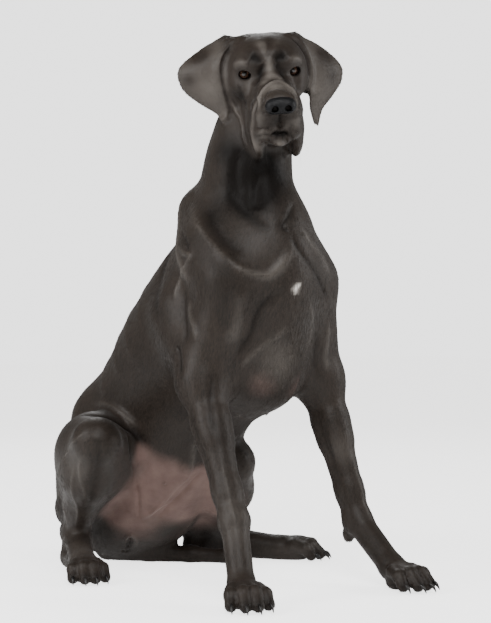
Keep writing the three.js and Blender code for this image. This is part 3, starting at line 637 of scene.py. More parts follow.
# The grid is too coarse for the ears' thin leaves, so it is laid over stouter ones.
skin_field = skin_form()
skin_p, quads = nets(skin_form("stout_ear_"), *SKIN_BOX, CELL)
skin_t = np.concatenate([quads[:, [0, 1, 2]], quads[:, [0, 2, 3]]])
skin_p = settle(skin_field, skin_p, SKIN_DEPTH)
for level_no in range(2):
    middles = skin_p[skin_t].mean(1)
    s, a, h = in_head(middles)
    if level_no == 0:
        fine = (a > -130) & (h > -150) & (np.abs(s) < 190) & (middles[:, 2] > 810)
        for name in SIDES:
            fine |= np.linalg.norm(middles - FOREPAW[name], axis=1) < FINE_ABOUT["forepaw"]
            fine |= np.linalg.norm(middles - HIND[name]["paw"], axis=1) < FINE_ABOUT["hindpaw"]
    else:
        fine = np.zeros(len(middles), bool)
        for w in (-1, 1):
            fine |= np.linalg.norm(middles - head(w * EYE["s"], 8, 0), axis=1) < FINE_ABOUT["eye"]
        fine |= (a > 96) & (h > -130) & (np.abs(s) < 40)
        bend = (normals_of(skin_p, skin_t)[skin_t] * sized(faces_of(skin_p, skin_t))[:, None]).sum(2).min(1)
        fine |= (np.abs(s) > 80) & (h > -135) & (middles[:, 2] > 840) & (bend < 0.96)
    before = len(skin_p)
    skin_p, skin_t = refine(skin_p, skin_t, fine)
    skin_p[before:] = settle(skin_field, skin_p[before:], SKIN_DEPTH)


# Folds and muscle lines
# Wrinkles, lip folds, tendons and the edges of muscles under the hide, a few millimetres high or deep.
# Those seen in the photo are given as its pixels and cast on the skin, and the others as points by the body.
CAMERA_SPOT = (-2115, -2671, 526)
CAMERA_AHEAD = (0.635, 0.773, 0)
FOCAL_PIXELS = 1710
PHOTO = (491, 623)
PHOTO_MIDDLE = (245.5, 311)
SEEN_LINES = [  # half width, height, photo pixels
    # brows, furrow and hollows beside the bridge of the muzzle
    (7, 3.4, [(233, 66), (238, 63.5), (243, 62.8), (249, 64.5)]),
    (7, 3.4, [(288, 61), (293, 58.5), (298, 59), (302, 62)]),
    (6, -2.2, [(269, 38), (268.5, 48), (268, 58)]),
    (9, 1.6, [(257, 38), (261, 47), (264, 55)]),
    (9, 1.6, [(279, 38), (276, 47), (272.5, 55)]),
    (10, -4.4, [(250, 56), (256, 58), (262, 63)]),
    (10, -4.4, [(274, 61), (280, 57), (287, 55)]),
    (6, -5.2, [(265, 63), (261, 70), (258, 78), (256, 85)]),
    (6, -5.2, [(275, 63), (279, 69), (284, 76), (288, 83)]),
    (8, 2.0, [(268, 60), (270, 69), (272, 78)]),
    # wrinkles and lip folds round the nose
    (3.4, 4.4, [(258.5, 111), (260, 100), (264, 90), (271, 84), (279, 82), (288, 87), (295, 95), (298, 108)]),
    (3, -4.2, [(262.5, 106), (264, 98), (268, 92), (274, 88.5), (282, 88.5), (290, 92), (294, 99)]),
    (3, -3.4, [(259, 92), (263, 86), (269, 81), (277, 78.5), (285, 80), (292, 87)]),
    (4, -3, [(262, 112), (268, 113.5), (273, 116)]),
    (2.2, -2.6, [(279.5, 112), (279.5, 118), (280, 124), (280.5, 131)]),
    (6, 2.0, [(271, 119), (274, 126), (277, 130)]),
    (6, 2.0, [(288, 118), (287, 125), (284, 129)]),
    (3.4, -6.0, [(270, 137), (275, 133.5), (280.5, 133), (286, 133.5), (290, 137)]),
    (5, 2.5, [(273, 142), (280, 144), (287, 142)]),
    # cheek and flew folds
    (6, -3.5, [(237, 84), (240, 92), (243, 100), (246, 106)]),
    (4, 4.6, [(231, 100), (236, 110), (241, 118), (243.5, 127), (244.5, 138), (248, 149)]),
    (4, -4.6, [(258, 90), (253, 100), (250, 110), (249, 122), (249, 134), (253, 147)]),
    (4, 4.2, [(262, 96), (257, 104), (254, 114), (253, 126), (254, 140), (257, 152)]),
    (2.6, -2.2, [(256, 128), (263, 128.5), (270, 129)]),
    (2.6, -2.0, [(257, 136), (264, 135), (271, 135.5)]),
    (2.6, -2.0, [(259, 145), (265, 143), (270, 141)]),
    (4, -2.8, [(297, 88), (297.5, 97), (299, 106), (300, 118)]),
    (4, 2.2, [(300, 92), (301.5, 102), (302.5, 114)]),
    (3, -2.2, [(290, 126), (291, 136), (291, 146), (292, 152)]),
    # creases where the ears lie on the head
    (4, -4.5, [(234, 41), (229, 48), (224, 57), (221.5, 68), (221.5, 79), (224, 91), (228, 103), (232, 115)]),
    (4, -4.5, [(290, 37), (297, 42), (303, 50), (307.5, 60), (309, 71), (308, 81)]),
    # throat, neck and chest
    (9, -5, [(240, 150), (236, 166), (236, 182), (243, 198)]),
    (12, -6, [(262, 166), (258, 182), (256, 197), (257, 212)]),
    (9, -4, [(227, 187), (234, 199), (243, 211), (258, 224), (272, 231)]),
    (9, 5, [(187, 192), (191, 207), (198, 224), (209, 240), (222, 254), (236, 267), (252, 274), (270, 275),
            (284, 262), (291, 249)]),
    (14, -4, [(206, 205), (214, 225), (228, 243), (246, 254)]),
    (7, -4, [(294, 204), (288, 217), (283, 227), (291, 233)]),
    (6, -3.5, [(291, 233), (297, 247), (306, 259), (315, 271), (322, 286), (328, 305)]),
    (8, 3, [(300, 226), (310, 243), (322, 258), (330, 277)]),
    (7, -4, [(281, 294), (269, 299), (260, 309), (255, 321), (251, 334), (243, 347), (235, 360)]),
    (14, 4, [(238, 288), (238, 306), (236, 325), (228, 345)]),
    (6, 2.5, [(288, 326), (276, 337), (262, 347), (249, 358), (240, 368)]),
    (6, 2.5, [(308, 300), (312, 318), (310, 336), (305, 350)]),
    (6, 3, [(329, 322), (327, 340), (325, 358), (328, 372)]),
    (8, -3, [(318, 330), (316, 346), (315, 360), (317, 375)]),
    (5, 3.5, [
        (172, 240), (178, 247), (184, 253), (190, 256), (186, 266), (181, 279), (176, 291), (175, 300),
    ]),
    (6, -3.5, [(181, 232), (186, 243), (188, 251)]),
    (6, 3, [(190, 300), (190, 313), (194, 327), (197, 342)]),
    (8, -3.5, [(184, 292), (184, 310), (186, 328), (186, 344)]),
    (6, -5, [(177, 345), (179, 353), (180, 364), (181, 376)]),
    (7, -3, [(213, 372), (211, 390), (211, 410), (213, 430)]),
    # flank, groin and hind leg
    (7, -6, [(70, 419), (80, 416), (95, 415), (110, 418), (122, 425), (132, 431), (139, 439), (145, 450)]),
    (7, 4, [(92, 404), (106, 404), (119, 411), (130, 421), (138, 429)]),
    (4, 2, [(86, 431), (78, 438), (70, 447), (63, 460), (59, 476), (60, 495), (65, 512), (68, 528)]),
    (3.5, 1.8, [(86, 455), (80, 463), (80, 476), (84, 490), (89, 502)]),
    (3.5, 1.6, [(74, 466), (72, 482), (74, 498), (78, 512), (76, 527)]),
    (8, -3, [(100, 440), (98, 456), (96, 474), (92, 494), (86, 514)]),
    (5, -4, [(126, 432), (131, 455), (135, 478), (138, 500), (139, 519)]),
    (5, 4, [(206, 458), (190, 472), (174, 489), (160, 505), (143, 519)]),
    (7, -4.5, [(203, 470), (188, 488), (172, 504), (158, 517)]),
    (4, 2, [(148, 516), (158, 507), (168, 503)]),
    (4, 4, [(124, 541), (127, 537), (132, 535), (136, 540), (135, 547)]),
    (3, -4, [(130, 537), (130, 543), (127, 549)]),
    (3, -3, [(121, 550), (126, 552), (131, 549)]),
    (3, 3, [(165, 483)]),
]
BODY_LINES = [  # half width, height, points on the dog's left side, also laid on its right
    (10, 3, [(0, 40, 790), (0, 150, 700), (0, 270, 590), (0, 370, 450), (0, 440, 300)]),
    (10, 4, [(60, 10, 745), (104, -20, 690), (128, -70, 630), (140, -120, 575)]),
    (12, -4, [(80, 60, 720), (135, 50, 650), (160, 10, 570), (160, -40, 500)]),
    (18, 6, [(48, 400, 440), (90, 370, 400)]),
    (8, 1.2, [(90, 170, 640), (150, 110, 560), (170, 30, 470)]),
    (8, 1.2, [(95, 215, 600), (155, 150, 520), (172, 70, 430)]),
    (8, 1.2, [(95, 260, 560), (158, 200, 480), (172, 110, 390)]),
    (8, 1.2, [(95, 300, 510), (158, 245, 430), (165, 160, 350)]),
    (4, 3, [(34, -118, 330)]),
    (4, 3, [(36, -20, 270)]),
    (4, 3, [(36, 50, 210)]),
]
LINE_LIMITS = (-8, 7)  # the deepest and highest that folds which cross may reach
LEG_LINES = [  # half width, height, share from elbow to carpus and place round the leg, outside and inside
    (6, -2.5, 0.12, 0.75, 70),
    (6, -2.2, 0.15, 0.7, -70),
    (4, 1.6, 0.55, 1.0, 8),
]


def ray_through(pixel):
    across = np.cross(CAMERA_AHEAD, (0, 0, 1))
    right = (pixel[0] - PHOTO_MIDDLE[0]) / FOCAL_PIXELS
    up = (PHOTO_MIDDLE[1] - pixel[1]) / FOCAL_PIXELS
    return unit(np.add(CAMERA_AHEAD, across * right) + point(0, 0, up))


def cast(tree, pixel):
    hit = tree.ray_cast(Vector(CAMERA_SPOT), Vector(ray_through(pixel)))
    return None if hit[0] is None else np.array(hit[0])


def laid(tree, spots, wide):
    """A line's points close together on the skin, the way the skin faces there and a fade to its ends."""
    spots = np.asarray(spots, float)
    if len(spots) > 1:
        length = np.linalg.norm(np.diff(spots, axis=0), axis=1).sum()
        spots = curve(spots, np.linspace(0, 1, int(length / wide * 2) + 4))
    found = [tree.find_nearest(Vector(s)) for s in spots]
    line = np.array([hit[0] for hit in found])
    facing = np.array([hit[1] for hit in found])
    t = np.linspace(0, 1, len(line)) if len(line) > 1 else np.array([0.5])
    fade = np.clip(np.minimum(t, 1 - t) * 5 + 0.15, 0, 1)
    return line, facing, fade


def near_line(p, line, reach):
    """The rows of p within reach of a line, their distances to it and the nearest point of the line."""
    low, high = line.min(0) - reach, line.max(0) + reach
    rows = np.flatnonzero(((p > low) & (p < high)).all(1))
    apart = np.linalg.norm(p[rows][:, None] - line[None], axis=2)
    nearest = apart.argmin(1)
    distance = apart[np.arange(len(rows)), nearest]
    close = distance < reach
    return rows[close], distance[close], nearest[close]


def tree_of(p, tris):
    return BVHTree.FromPolygons(p.tolist(), tris.tolist())


skin_tree = tree_of(skin_p, skin_t)
lines = []
for wide, high, pixels in SEEN_LINES:
    spots = [s for s in (cast(skin_tree, pixel) for pixel in pixels) if s is not None]
    if spots:
        lines.append((wide, high, *laid(skin_tree, spots, wide)))
for wide, high, spots in BODY_LINES:
    for side in (-1, 1):
        lines.append((wide, high, *laid(skin_tree, np.multiply(spots, (side, 1, 1)), wide)))
for wide, high, start, end, turn in LEG_LINES:
    for name, side in SIDES.items():
        elbow, carpus = ELBOW[name], CARPUS[name]
        ahead = level(FOREPAW[name] - carpus)
        angle = math.radians(turn) * side
        off = ahead * math.cos(angle) + np.cross(ahead, (0, 0, -1)) * math.sin(angle)
        spots = [mix(elbow, carpus, t) + off * 40 for t in np.linspace(start, end, 6)]
        lines.append((wide, high, *laid(skin_tree, spots, wide)))

for _ in range(2):
    middles = skin_p[skin_t].mean(1)
    longest = np.linalg.norm(skin_p[skin_t] - skin_p[np.roll(skin_t, 1, 1)], axis=2).max(1)
    fine = np.zeros(len(skin_t), bool)
    for wide, high, line, facing, fade in lines:
        rows, distance, nearest = near_line(middles, line, wide * 1.4)
        fine[rows] |= longest[rows] > max(wide * 1.1, 2.6)
    before = len(skin_p)
    skin_p, skin_t = refine(skin_p, skin_t, fine)
    skin_p[before:] = settle(skin_field, skin_p[before:], SKIN_DEPTH)

skin_n = normals_of(skin_p, skin_t)
raised = np.zeros(len(skin_p))
for wide, high, line, facing, fade in lines:
    rows, distance, nearest = near_line(skin_p, line, wide * 2.6)
    same_side = np.clip((skin_n[rows] * facing[nearest]).sum(1) * 1.5, 0, 1)
    sharp = 2.0 if high > 0 else 1.5
    raised[rows] += high * fade[nearest] * same_side * np.exp(-((distance / wide) ** sharp))
skin_p = skin_p + skin_n * np.clip(raised, *LINE_LIMITS)[:, None]
skin_p[:, 2] = np.maximum(skin_p[:, 2], SKIN_DEPTH)
skin_n = normals_of(skin_p, skin_t)


# Markings and painted light
# Painted light and shade over some real grey hair: lighter muzzle and ears, darker neck; bare pink skin on
# the belly, white on the chest.
# They are kept on the skin's points, and each tuft takes them over from its root.
SEEN_PATCHES = {  # radius, strength, photo pixel
    # Painted shadow under the jaw, on the neck, chest and ribs and in the mouth; painted highlights on the
    # muzzle, breast and legs; some real grey hair on the face.
    "shade": [
        (15, -0.6, (255, 56)), (15, -0.6, (280, 55)), (10, -0.45, (260, 74)), (10, -0.45, (284, 72)),
        (14, -0.5, (280, 118)), (9, -0.5, (272, 124)), (6, -1.2, (277, 134)), (6, -1.2, (283, 134)),
        (44, -0.7, (255, 192)), (36, -0.6, (236, 176)), (34, -0.7, (262, 168)), (16, -0.7, (238, 96)),
        (44, -0.5, (222, 205)), (40, -0.5, (240, 150)), (34, -0.55, (280, 175)), (17, 1.0, (275, 86)),
        (12, 0.5, (292, 92)), (11, 0.5, (258, 118)), (12, 0.4, (262, 134)), (12, 0.4, (250, 128)),
        (10, 0.5, (297, 122)), (46, -0.6, (262, 196)), (12, 0.1, (240, 62)), (12, 0.1, (297, 58)),
        (12, 0.45, (262, 44)), (12, 0.45, (265, 52)), (10, 0.4, (269, 60)), (15, 0.4, (270, 76)),
        (12, 0.4, (262, 92)), (12, 0.3, (290, 88)), (9, 0.5, (259, 104)), (9, 0.4, (297, 102)),
        (9, 0.6, (279, 145)), (70, 0.2, (300, 545)), (8, 0.6, (269, 67)), (12, 0.7, (271, 75)),
        (8, 0.6, (264, 82)), (8, 0.6, (280, 79)), (14, 0.5, (254, 146)), (18, -0.7, (243, 162)),
        (30, -0.6, (224, 150)), (16, -0.6, (266, 162)), (24, -0.6, (200, 56)), (16, -0.4, (189, 80)),
        (18, 0.25, (209, 88)), (24, -0.6, (324, 56)), (18, -0.4, (333, 76)), (14, 0.2, (314, 88)),
        (14, 0.3, (252, 152)), (16, 0.3, (262, 146)), (14, 0.1, (244, 100)), (13, 0.2, (247, 86)),
        (60, -0.35, (228, 296)), (36, 0.55, (280, 362)), (30, 0.25, (78, 470)), (26, 0.25, (84, 550)),
        (90, -0.35, (150, 360)), (80, -0.3, (115, 400)), (44, 0.2, (238, 520)), (30, 0.3, (340, 450)),
        (40, -0.3, (222, 262)), (34, -0.3, (203, 242)), (36, -0.3, (222, 440)),
    ],
    "bare": [
        (62, 1.0, (150, 492)), (58, 1.0, (178, 500)), (40, 0.9, (122, 505)), (30, 0.7, (186, 506)),
        (26, 0.8, (140, 455)), (34, 0.9, (200, 480)), (42, 0.9, (135, 530)), (34, 0.7, (165, 470)),
        (40, 0.5, (262, 385)), (28, 0.8, (112, 515)), (28, 0.8, (124, 545)), (26, 0.7, (150, 542)),
    ],
    "white": [(4.4, 1.6, (295.8, 288.5)), (3.4, 1.3, (298, 285.5)), (2.6, 0.9, (297, 292))],
}
# Painted light on the outer faces of the ears.
EAR_PAINTED_LIGHT = 0.42
# Painted light on raised folds and painted shade in sunken ones.
SHADE_OF_RISE = (0.1, 0.14)  # lighter per millimetre raised, darker per millimetre sunken
BARE_EDGE = (1.4, 0.35)  # how sharply bare skin gives way to hair
BARE_FROM, BARE_FADE = 50, 40  # height over the floor below which hair covers the skin again


def markings_and_painted_light(tree, p):
    marks = {kind: np.zeros(len(p)) for kind in SEEN_PATCHES}
    for kind, patches in SEEN_PATCHES.items():
        for radius, strength, pixel in patches:
            centre = cast(tree, pixel)
            for spot in [centre] if kind != "bare" else [centre, centre * (-1, 1, 1)]:
                marks[kind] += strength * np.exp(-((p - spot) ** 2).sum(1) / radius**2)
    for name, side in SIDES.items():
        # Painted light on the ears' outer faces.
        close = np.clip(1.5 - PARTS["ear_" + name](p) / 4, 0, 1)
        outer = np.clip((np.abs(in_head(p)[0]) - 72) / 14, 0, 1)
        marks["shade"] += EAR_PAINTED_LIGHT * close * outer
        eye = head(side * EYE["s"], EYE["a"] + 8, EYE["h"])
        marks["shade"] -= 1.5 * np.exp(-(np.linalg.norm(p - eye, axis=1) / 15) ** 4)
    # Painted shade: the skin seen through the nostrils is painted black.
    for form in nose_hollows()[0]:
        marks["shade"] -= 3 * np.clip(1.3 - form(p) / 5, 0, 1)
    return marks


def tips(p):
    """Nearness to the claws, where the hair thins and darkens."""
    return sum(np.exp(-((p - root) ** 2).sum(1) / 9**2) for root, tip in claw_spots)


marks = markings_and_painted_light(tree_of(skin_p, skin_t), skin_p)
# Painted highlights on ridges and painted shade in grooves, and the hair darker by the claws.
marks["shade"] += np.where(raised > 0, SHADE_OF_RISE[0], SHADE_OF_RISE[1]) * raised - tips(skin_p)
marks["shade"] = np.clip(marks["shade"], -1, 1)
outward = np.where(skin_p[:, 0] > 40, np.clip(2 * skin_n[:, 0], 0, 1), 0)
marks["bare"] = np.clip(marks["bare"] * BARE_EDGE[0] - BARE_EDGE[1], 0, 1) * (1 - outward)
marks["bare"] *= np.clip((skin_p[:, 2] - BARE_FROM) / BARE_FADE, 0, 1)
marks["white"] = np.clip(marks["white"], 0, 1)

# Millimetres in the pose's own frame become metres in the scene, set by the right eye's solid.
MM = 0.001
SHIFT = np.array(sum((Vector(c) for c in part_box("eye_right")), Vector())) / 2 / MM
SHIFT = SHIFT - head(-EYE["s"], EYE["a"], EYE["h"])


def world(p):
    return (np.asarray(p, float) + SHIFT) * MM


def mesh_object(name, p, faces, material):
    """A mesh from points in millimetres and rows of corner numbers, all rows the same length."""
    mesh = bpy.data.meshes.new(name)
    faces = np.asarray(faces)
    mesh.vertices.add(len(p))
    mesh.vertices.foreach_set("co", world(p).astype(np.float32).ravel())
    sides = faces.shape[1]
    mesh.loops.add(faces.size)
    mesh.loops.foreach_set("vertex_index", faces.astype(np.int32).ravel())
    mesh.polygons.add(len(faces))
    mesh.polygons.foreach_set("loop_start", np.arange(0, faces.size, sides, dtype=np.int32))
    mesh.polygons.foreach_set("loop_total", np.full(len(faces), sides, np.int32))
    mesh.update(calc_edges=True)
    mesh.validate()
    mesh.polygons.foreach_set("use_smooth", np.ones(len(mesh.polygons), bool))
    mesh.materials.append(material)
    made = bpy.data.objects.new(name, mesh)
    bpy.context.scene.collection.objects.link(made)
    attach(made, "root")
    return made


# Camera
# It looks level from half the dog's height, with the photograph's field of view, which the lines of
# the photo's floor contacts give.
SENSOR = 36.0


def make_camera():
    data = bpy.data.cameras.new("camera")
    data.sensor_fit = "VERTICAL"
    data.sensor_height = SENSOR
    data.lens = FOCAL_PIXELS * SENSOR / PHOTO[1]
    data.shift_x = 0.0
    data.shift_y = (PHOTO_MIDDLE[1] - PHOTO[1] / 2) / PHOTO[1]
    data.clip_end = 50
    camera = bpy.data.objects.new("camera", data)
    camera.location = world(CAMERA_SPOT)
    camera.rotation_euler = Vector(CAMERA_AHEAD).to_track_quat("-Z", "Y").to_euler()
    bpy.context.scene.collection.objects.link(camera)
    bpy.context.scene.camera = camera


make_camera()


# Coat and bare skin
# Short, glossy guard hair, black with a brown cast, worn thin on the belly down to soft pink skin.
# Streaks along the lie of the hair catch the light as the flat coat does, the bare skin shows its pores, and
# painted light and shade lighten and darken the hair.
def linear(code):
    """An sRGB hex colour as linear red, green, blue and alpha."""
    values = [int(code[i:i + 2], 16) / 255 for i in (1, 3, 5)]
    return (*[v / 12.92 if v <= 0.04045 else ((v + 0.055) / 1.055) ** 2.4 for v in values], 1.0)


def new_material(name):
    material = bpy.data.materials.new(name)
    material.use_nodes = True
    return material, material.node_tree.nodes["Principled BSDF"]


def add_node(material, kind, inputs=(), **settings):
    """Adds a node with its settings, and with each input set to a value or linked to a socket."""
    node = material.node_tree.nodes.new(kind)
    for key, value in settings.items():
        setattr(node, key, value)
    for socket, value in dict(inputs).items():
        if hasattr(value, "is_linked"):
            material.node_tree.links.new(value, node.inputs[socket])
        else:
            node.inputs[socket].default_value = value
    return node


def link(material, source, target):
    material.node_tree.links.new(source, target)


BODY_LIE = (0.0, 0.3, -0.954)  # the way the hair lies on the body, down and back
STREAK = 0.88  # how far the grain is drawn out along the hair
HAIR_WIDTH = 1.6  # real hairs are 0.1 mm wide, too fine to show, so the grain is drawn as small locks
FACE_HAIR_WIDTH = 1.1
BLOTCH = 35.7  # a patch of hair that has faded together
LOOSE_SKIN = 13.3  # a wrinkle of the loose skin
PORE = 2.2  # real pores are 0.3 mm wide, drawn coarse enough to show


def scale_of(size):
    """The scale at which a texture's pattern is as wide as a size in millimetres."""
    return 1 / (size * MM)


def hair_grain(m, spot, lie, width):
    """Noise drawn out along the lie of the hair."""
    lie = tuple(lie)
    along = add_node(m, "ShaderNodeVectorMath", {0: spot, 1: lie}, operation="DOT_PRODUCT")
    share = add_node(m, "ShaderNodeMath", {0: along.outputs["Value"], 1: STREAK}, operation="MULTIPLY")
    part = add_node(m, "ShaderNodeVectorMath", {0: lie, "Scale": share.outputs[0]}, operation="SCALE")
    drawn = add_node(m, "ShaderNodeVectorMath", {0: spot, 1: part.outputs[0]}, operation="SUBTRACT")
    grain = {"Vector": drawn.outputs[0], "Scale": scale_of(width), "Detail": 3.0}
    return add_node(m, "ShaderNodeTexNoise", grain).outputs["Fac"]


def layered(m, colour, layers):
    """Colours laid over the first, each by a value from its low to its high mark, and up to a share."""
    for over, value, low, high, most in layers:
        share = add_node(m, "ShaderNodeMapRange", {0: value, 1: low, 2: high, 4: most}).outputs[0]
        over = linear(over) if isinstance(over, str) else over
        both = add_node(m, "ShaderNodeMix", {0: share, 6: colour, 7: over}, data_type="RGBA")
        colour = both.outputs[2]
    return colour


def coat_material():
    """Short glossy hair: dark, with a soft shine that breaks up along the locks, and painted light and shade;
    the shine dies in the folds.
    """
    m, shader = new_material("short_coat")
    spot = add_node(m, "ShaderNodeTexCoord").outputs["Object"]
    shade, bare, white = (add_node(m, "ShaderNodeAttribute", attribute_name=kind).outputs["Fac"]
                          for kind in ("shade", "bare", "white"))
    height = add_node(m, "ShaderNodeSeparateXYZ", {0: spot}).outputs["Z"]
    on_head = add_node(m, "ShaderNodeMapRange", {0: height, 1: 0.8, 2: 0.9}).outputs[0]
    body_grain = hair_grain(m, spot, BODY_LIE, HAIR_WIDTH)
    head_grain = hair_grain(m, spot, AHEAD, FACE_HAIR_WIDTH)
    grain = add_node(m, "ShaderNodeMix", {0: on_head, 2: body_grain, 3: head_grain}).outputs[0]
    blotches = {"Vector": spot, "Scale": scale_of(BLOTCH), "Detail": 4.0}
    blotches = add_node(m, "ShaderNodeTexNoise", blotches).outputs["Fac"]
    skin_pink = layered(m, linear("#65504a"), [("#7b655e", blotches, 0.3, 0.7, 1.0)])
    colour = layered(m, linear("#1f1a16"), [
        ("#29221d", blotches, 0.35, 0.65, 1.0),
        ("#322a24", grain, 0.35, 0.7, 1.0),
        # The shade mark paints light and shade into the hair's colour: lighter towards 1, near black towards
        # -1.
        ("#68625c", shade, 0.0, 1.0, 0.9),
        ("#0b0908", shade, 0.0, -1.0, 0.9),
        (skin_pink, bare, 0.0, 1.0, 1.0),
        ("#e6e0d8", white, 0.0, 1.0, 1.0),
    ])
    link(m, colour, shader.inputs["Base Color"])
    # Locks of hair, or pores where it is bare, break up the light, and wide folds of skin bend it.
    loose = {"Vector": spot, "Scale": scale_of(LOOSE_SKIN), "Detail": 2.0}
    loose = add_node(m, "ShaderNodeTexNoise", loose).outputs["Fac"]
    pores = add_node(m, "ShaderNodeTexVoronoi", {"Vector": spot, "Scale": scale_of(PORE)})
    fine = add_node(m, "ShaderNodeMix", {0: bare, 2: grain, 3: pores.outputs["Distance"]}).outputs[0]
    wide = {"Height": loose, "Distance": 1.6 * MM, "Strength": 0.35}
    wide = add_node(m, "ShaderNodeBump", wide).outputs[0]
    bump = {"Height": fine, "Distance": 0.6 * MM, "Strength": 0.6, "Normal": wide}
    link(m, add_node(m, "ShaderNodeBump", bump).outputs[0], shader.inputs["Normal"])
    rough = add_node(m, "ShaderNodeMapRange", {0: grain, 1: 0.3, 2: 0.7, 3: 0.4, 4: 0.55})
    link(m, rough.outputs[0], shader.inputs["Roughness"])
    # Painted shade also dulls the shine, so that painted shadow stays dark.
    shine = add_node(m, "ShaderNodeMapRange", {0: shade, 1: -1.0, 2: 0.2, 3: 0.08, 4: 0.3})
    link(m, shine.outputs[0], shader.inputs["Specular IOR Level"])
    shader.inputs["Sheen Weight"].default_value = 0.06
    shader.inputs["Sheen Roughness"].default_value = 0.4
    return m


def mark(made, values):
    """Writes the marks, painted light and shade among them, on a mesh's points, for its material to read."""
    for kind, value in values.items():
        layer = made.data.attributes.new(kind, "FLOAT", "POINT")
        layer.data.foreach_set("value", np.asarray(value, np.float32))


coat = coat_material()
skin = mesh_object("skin", skin_p, skin_t, coat)
mark(skin, marks)
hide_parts("torso", "neck", "head", "ear_right", "ear_left", "foreleg_right", "foreleg_left",
            "forepaw_right", "forepaw_left", "tail_root", "tail_tip", "thigh_right", "thigh_left",
            "shank_right", "shank_left", "hindpaw_right", "hindpaw_left")


# Tufts
# Flat locks of short hair over the skin, along the lie of the hair from head to tail and down each leg.
# Each is a slim closed wedge rooted in the skin, smallest on the face and feet, longest where it is loose.
LIES = [  # where the hair runs from and to, and how far the skin lies from that line
    (head(0, 130, -45), head(0, 20, -20), 44), (head(0, 20, -20), head(0, -130, 10), 62),
    (head(0, 100, -100), head(0, -50, -76), 38), (point(-7, -128, 905), point(-10, -113, 800), 66),
    (point(-10, -113, 800), point(0, -86, 680), 88), (point(0, -110, 690), point(0, -60, 500), 120),
    (point(0, -60, 500), point(0, 80, 370), 146), (point(0, 80, 370), point(0, 230, 200), 146),
    (point(0, 230, 200), point(0, 270, 70), 110),
]
for name, side in SIDES.items():
    spots = HIND[name]
    hip, knee, hock, paw = (spots[joint] for joint in ("hip", "knee", "hock", "paw"))
    elbow, carpus, toes = ELBOW[name], CARPUS[name], FOREPAW[name]
    front, rear = EAR_EDGES[name]
    LIES += [
        (np.multiply(SHOULDER_TOP, (side, 1, 1)), elbow, 60), (elbow, carpus, 34),
        (carpus, toes + point(0, 0, 26), 25), (toes + point(0, 0, 26), toes + unit(toes - carpus) * 50, 25),
        (hip, knee, 80), (knee, hock, 45), (hock, paw + point(0, 0, 24), 25),
        (paw + point(0, 0, 24), paw + level(paw - hock) * 50, 25),
        (head(*mix(front[1], rear[1], 0.4)), head(*mix(front[4], rear[4], 0.5)), 24),
        (head(*mix(front[4], rear[4], 0.5)), head(*front[8]), 24),
    ]
LIES += [(np.array(a, float), np.array(b, float), r) for a, b, r in zip(TAIL, TAIL[1:], TAIL_THICK)]
UNWRAP_TILES = 6  # along each side of the map, with a tile for each line of the lie
TUFT_PATCH = 0.003  # the side of the patch of the map that one tuft covers
TUFT = dict(half_width=0.06, behind=0.1)  # shares of its length
TUFT_MM = dict(depth=0.5, swell=0.2, off_floor=0.3)
HAIRLESS = dict(eye=22, nose=2, floor=5, bare=0.45)  # millimetres round each, and the share of bare skin
TUFTS = {"head": 30000, "trunk": 34000, "forelegs": 22000, "hindquarters": 30000}
LOOSE_SPOTS = [  # where longer hair breaks the form: centre, reach
    (point(0, 330, 120), 90), (point(-150, 235, 130), 70), (point(150, 215, 110), 70),
    (point(0, -30, 330), 70), (point(0, -215, 420), 60), (head(0, -60, -110), 60),
    (point(-20, 300, 20), 60), (point(60, 170, 12), 60), (point(-130, -90, 390), 45),
    (point(140, -110, 390), 45),
]
chance = np.random.default_rng(11)


def nearest_lies(p):
    """For each point the lie of the hair, and the line it belongs to with the share along it."""
    gaps, shares = [], []
    for a, b, r in LIES:
        t = np.clip((p - a) @ (b - a) / ((b - a) @ (b - a)), 0, 1)
        gaps.append(np.linalg.norm(p - a - t[:, None] * (b - a), axis=1) - r)
        shares.append(t)
    gaps = np.array(gaps)
    weight = np.exp(-(gaps - gaps.min(0)) / 14)
    lie = weight.T @ np.array([unit(b - a) for a, b, r in LIES])
    best = gaps.argmin(0)
    return lie, best, np.array(shares)[best, np.arange(len(p))]


def unwrap(p, best, share):
    """Each line's skin as a tube laid flat, in a tile of its own."""
    u = np.empty(len(p))
    for i, (a, b, r) in enumerate(LIES):
        rows = best == i
        axis = unit(b - a)
        x = unit(np.cross(axis, (0.3, 0.9, 0.2)))
        q = p[rows] - a
        u[rows] = np.arctan2(q @ np.cross(axis, x), q @ x) / (2 * np.pi) + 0.5
    tile = np.stack([best % UNWRAP_TILES, best // UNWRAP_TILES], 1)
    return (tile + 0.03 + 0.92 * np.stack([u, share], 1)) / UNWRAP_TILES


def region_of(p):
    hind = (p[:, 2] < 420) & (p[:, 1] > -20) & (np.abs(p[:, 0]) > 60) | (p[:, 2] < 110) & (p[:, 1] > 0)
    fore = (p[:, 2] < 430) & (p[:, 1] < -60) & (np.abs(p[:, 0]) > 75)
    lower = np.where(fore, "forelegs", np.where(hind, "hindquarters", "trunk"))
    return np.where(p[:, 2] > 760, "head", lower)


def tuft_size(p):
    """Length of the tufts in millimetres: short on the face, ears and feet, longer where it is loose."""
    s, a, h = in_head(p)
    on_face = np.clip((a + 110) / 60, 0, 1) * np.clip((p[:, 2] - 800) / 60, 0, 1)
    on_foot = np.clip(1 - p[:, 2] / 120, 0, 1)
    return 9.5 * (1 - 0.58 * on_face) * (1 - 0.4 * on_foot) + 4.5 * loose_at(p) * (1 - on_face)


def loose_at(p):
    """How far the hair breaks the form: on the rims of the ears and at the loose spots."""
    loose = sum(np.exp(-((p - centre) ** 2).sum(1) / reach**2) for centre, reach in LOOSE_SPOTS)
    for name in SIDES:
        front, rear = EAR_EDGES[name]
        for edge in (front[1:], rear[1:]):
            rim = np.array([head(*spot) for spot in edge])
            spots = curve(rim, np.linspace(0, 1, 24))
            close = ((p[:, None] - spots[None]) ** 2).sum(2).min(1)
            loose = loose + np.exp(-close / 9**2)
    return np.clip(loose, 0, 1)


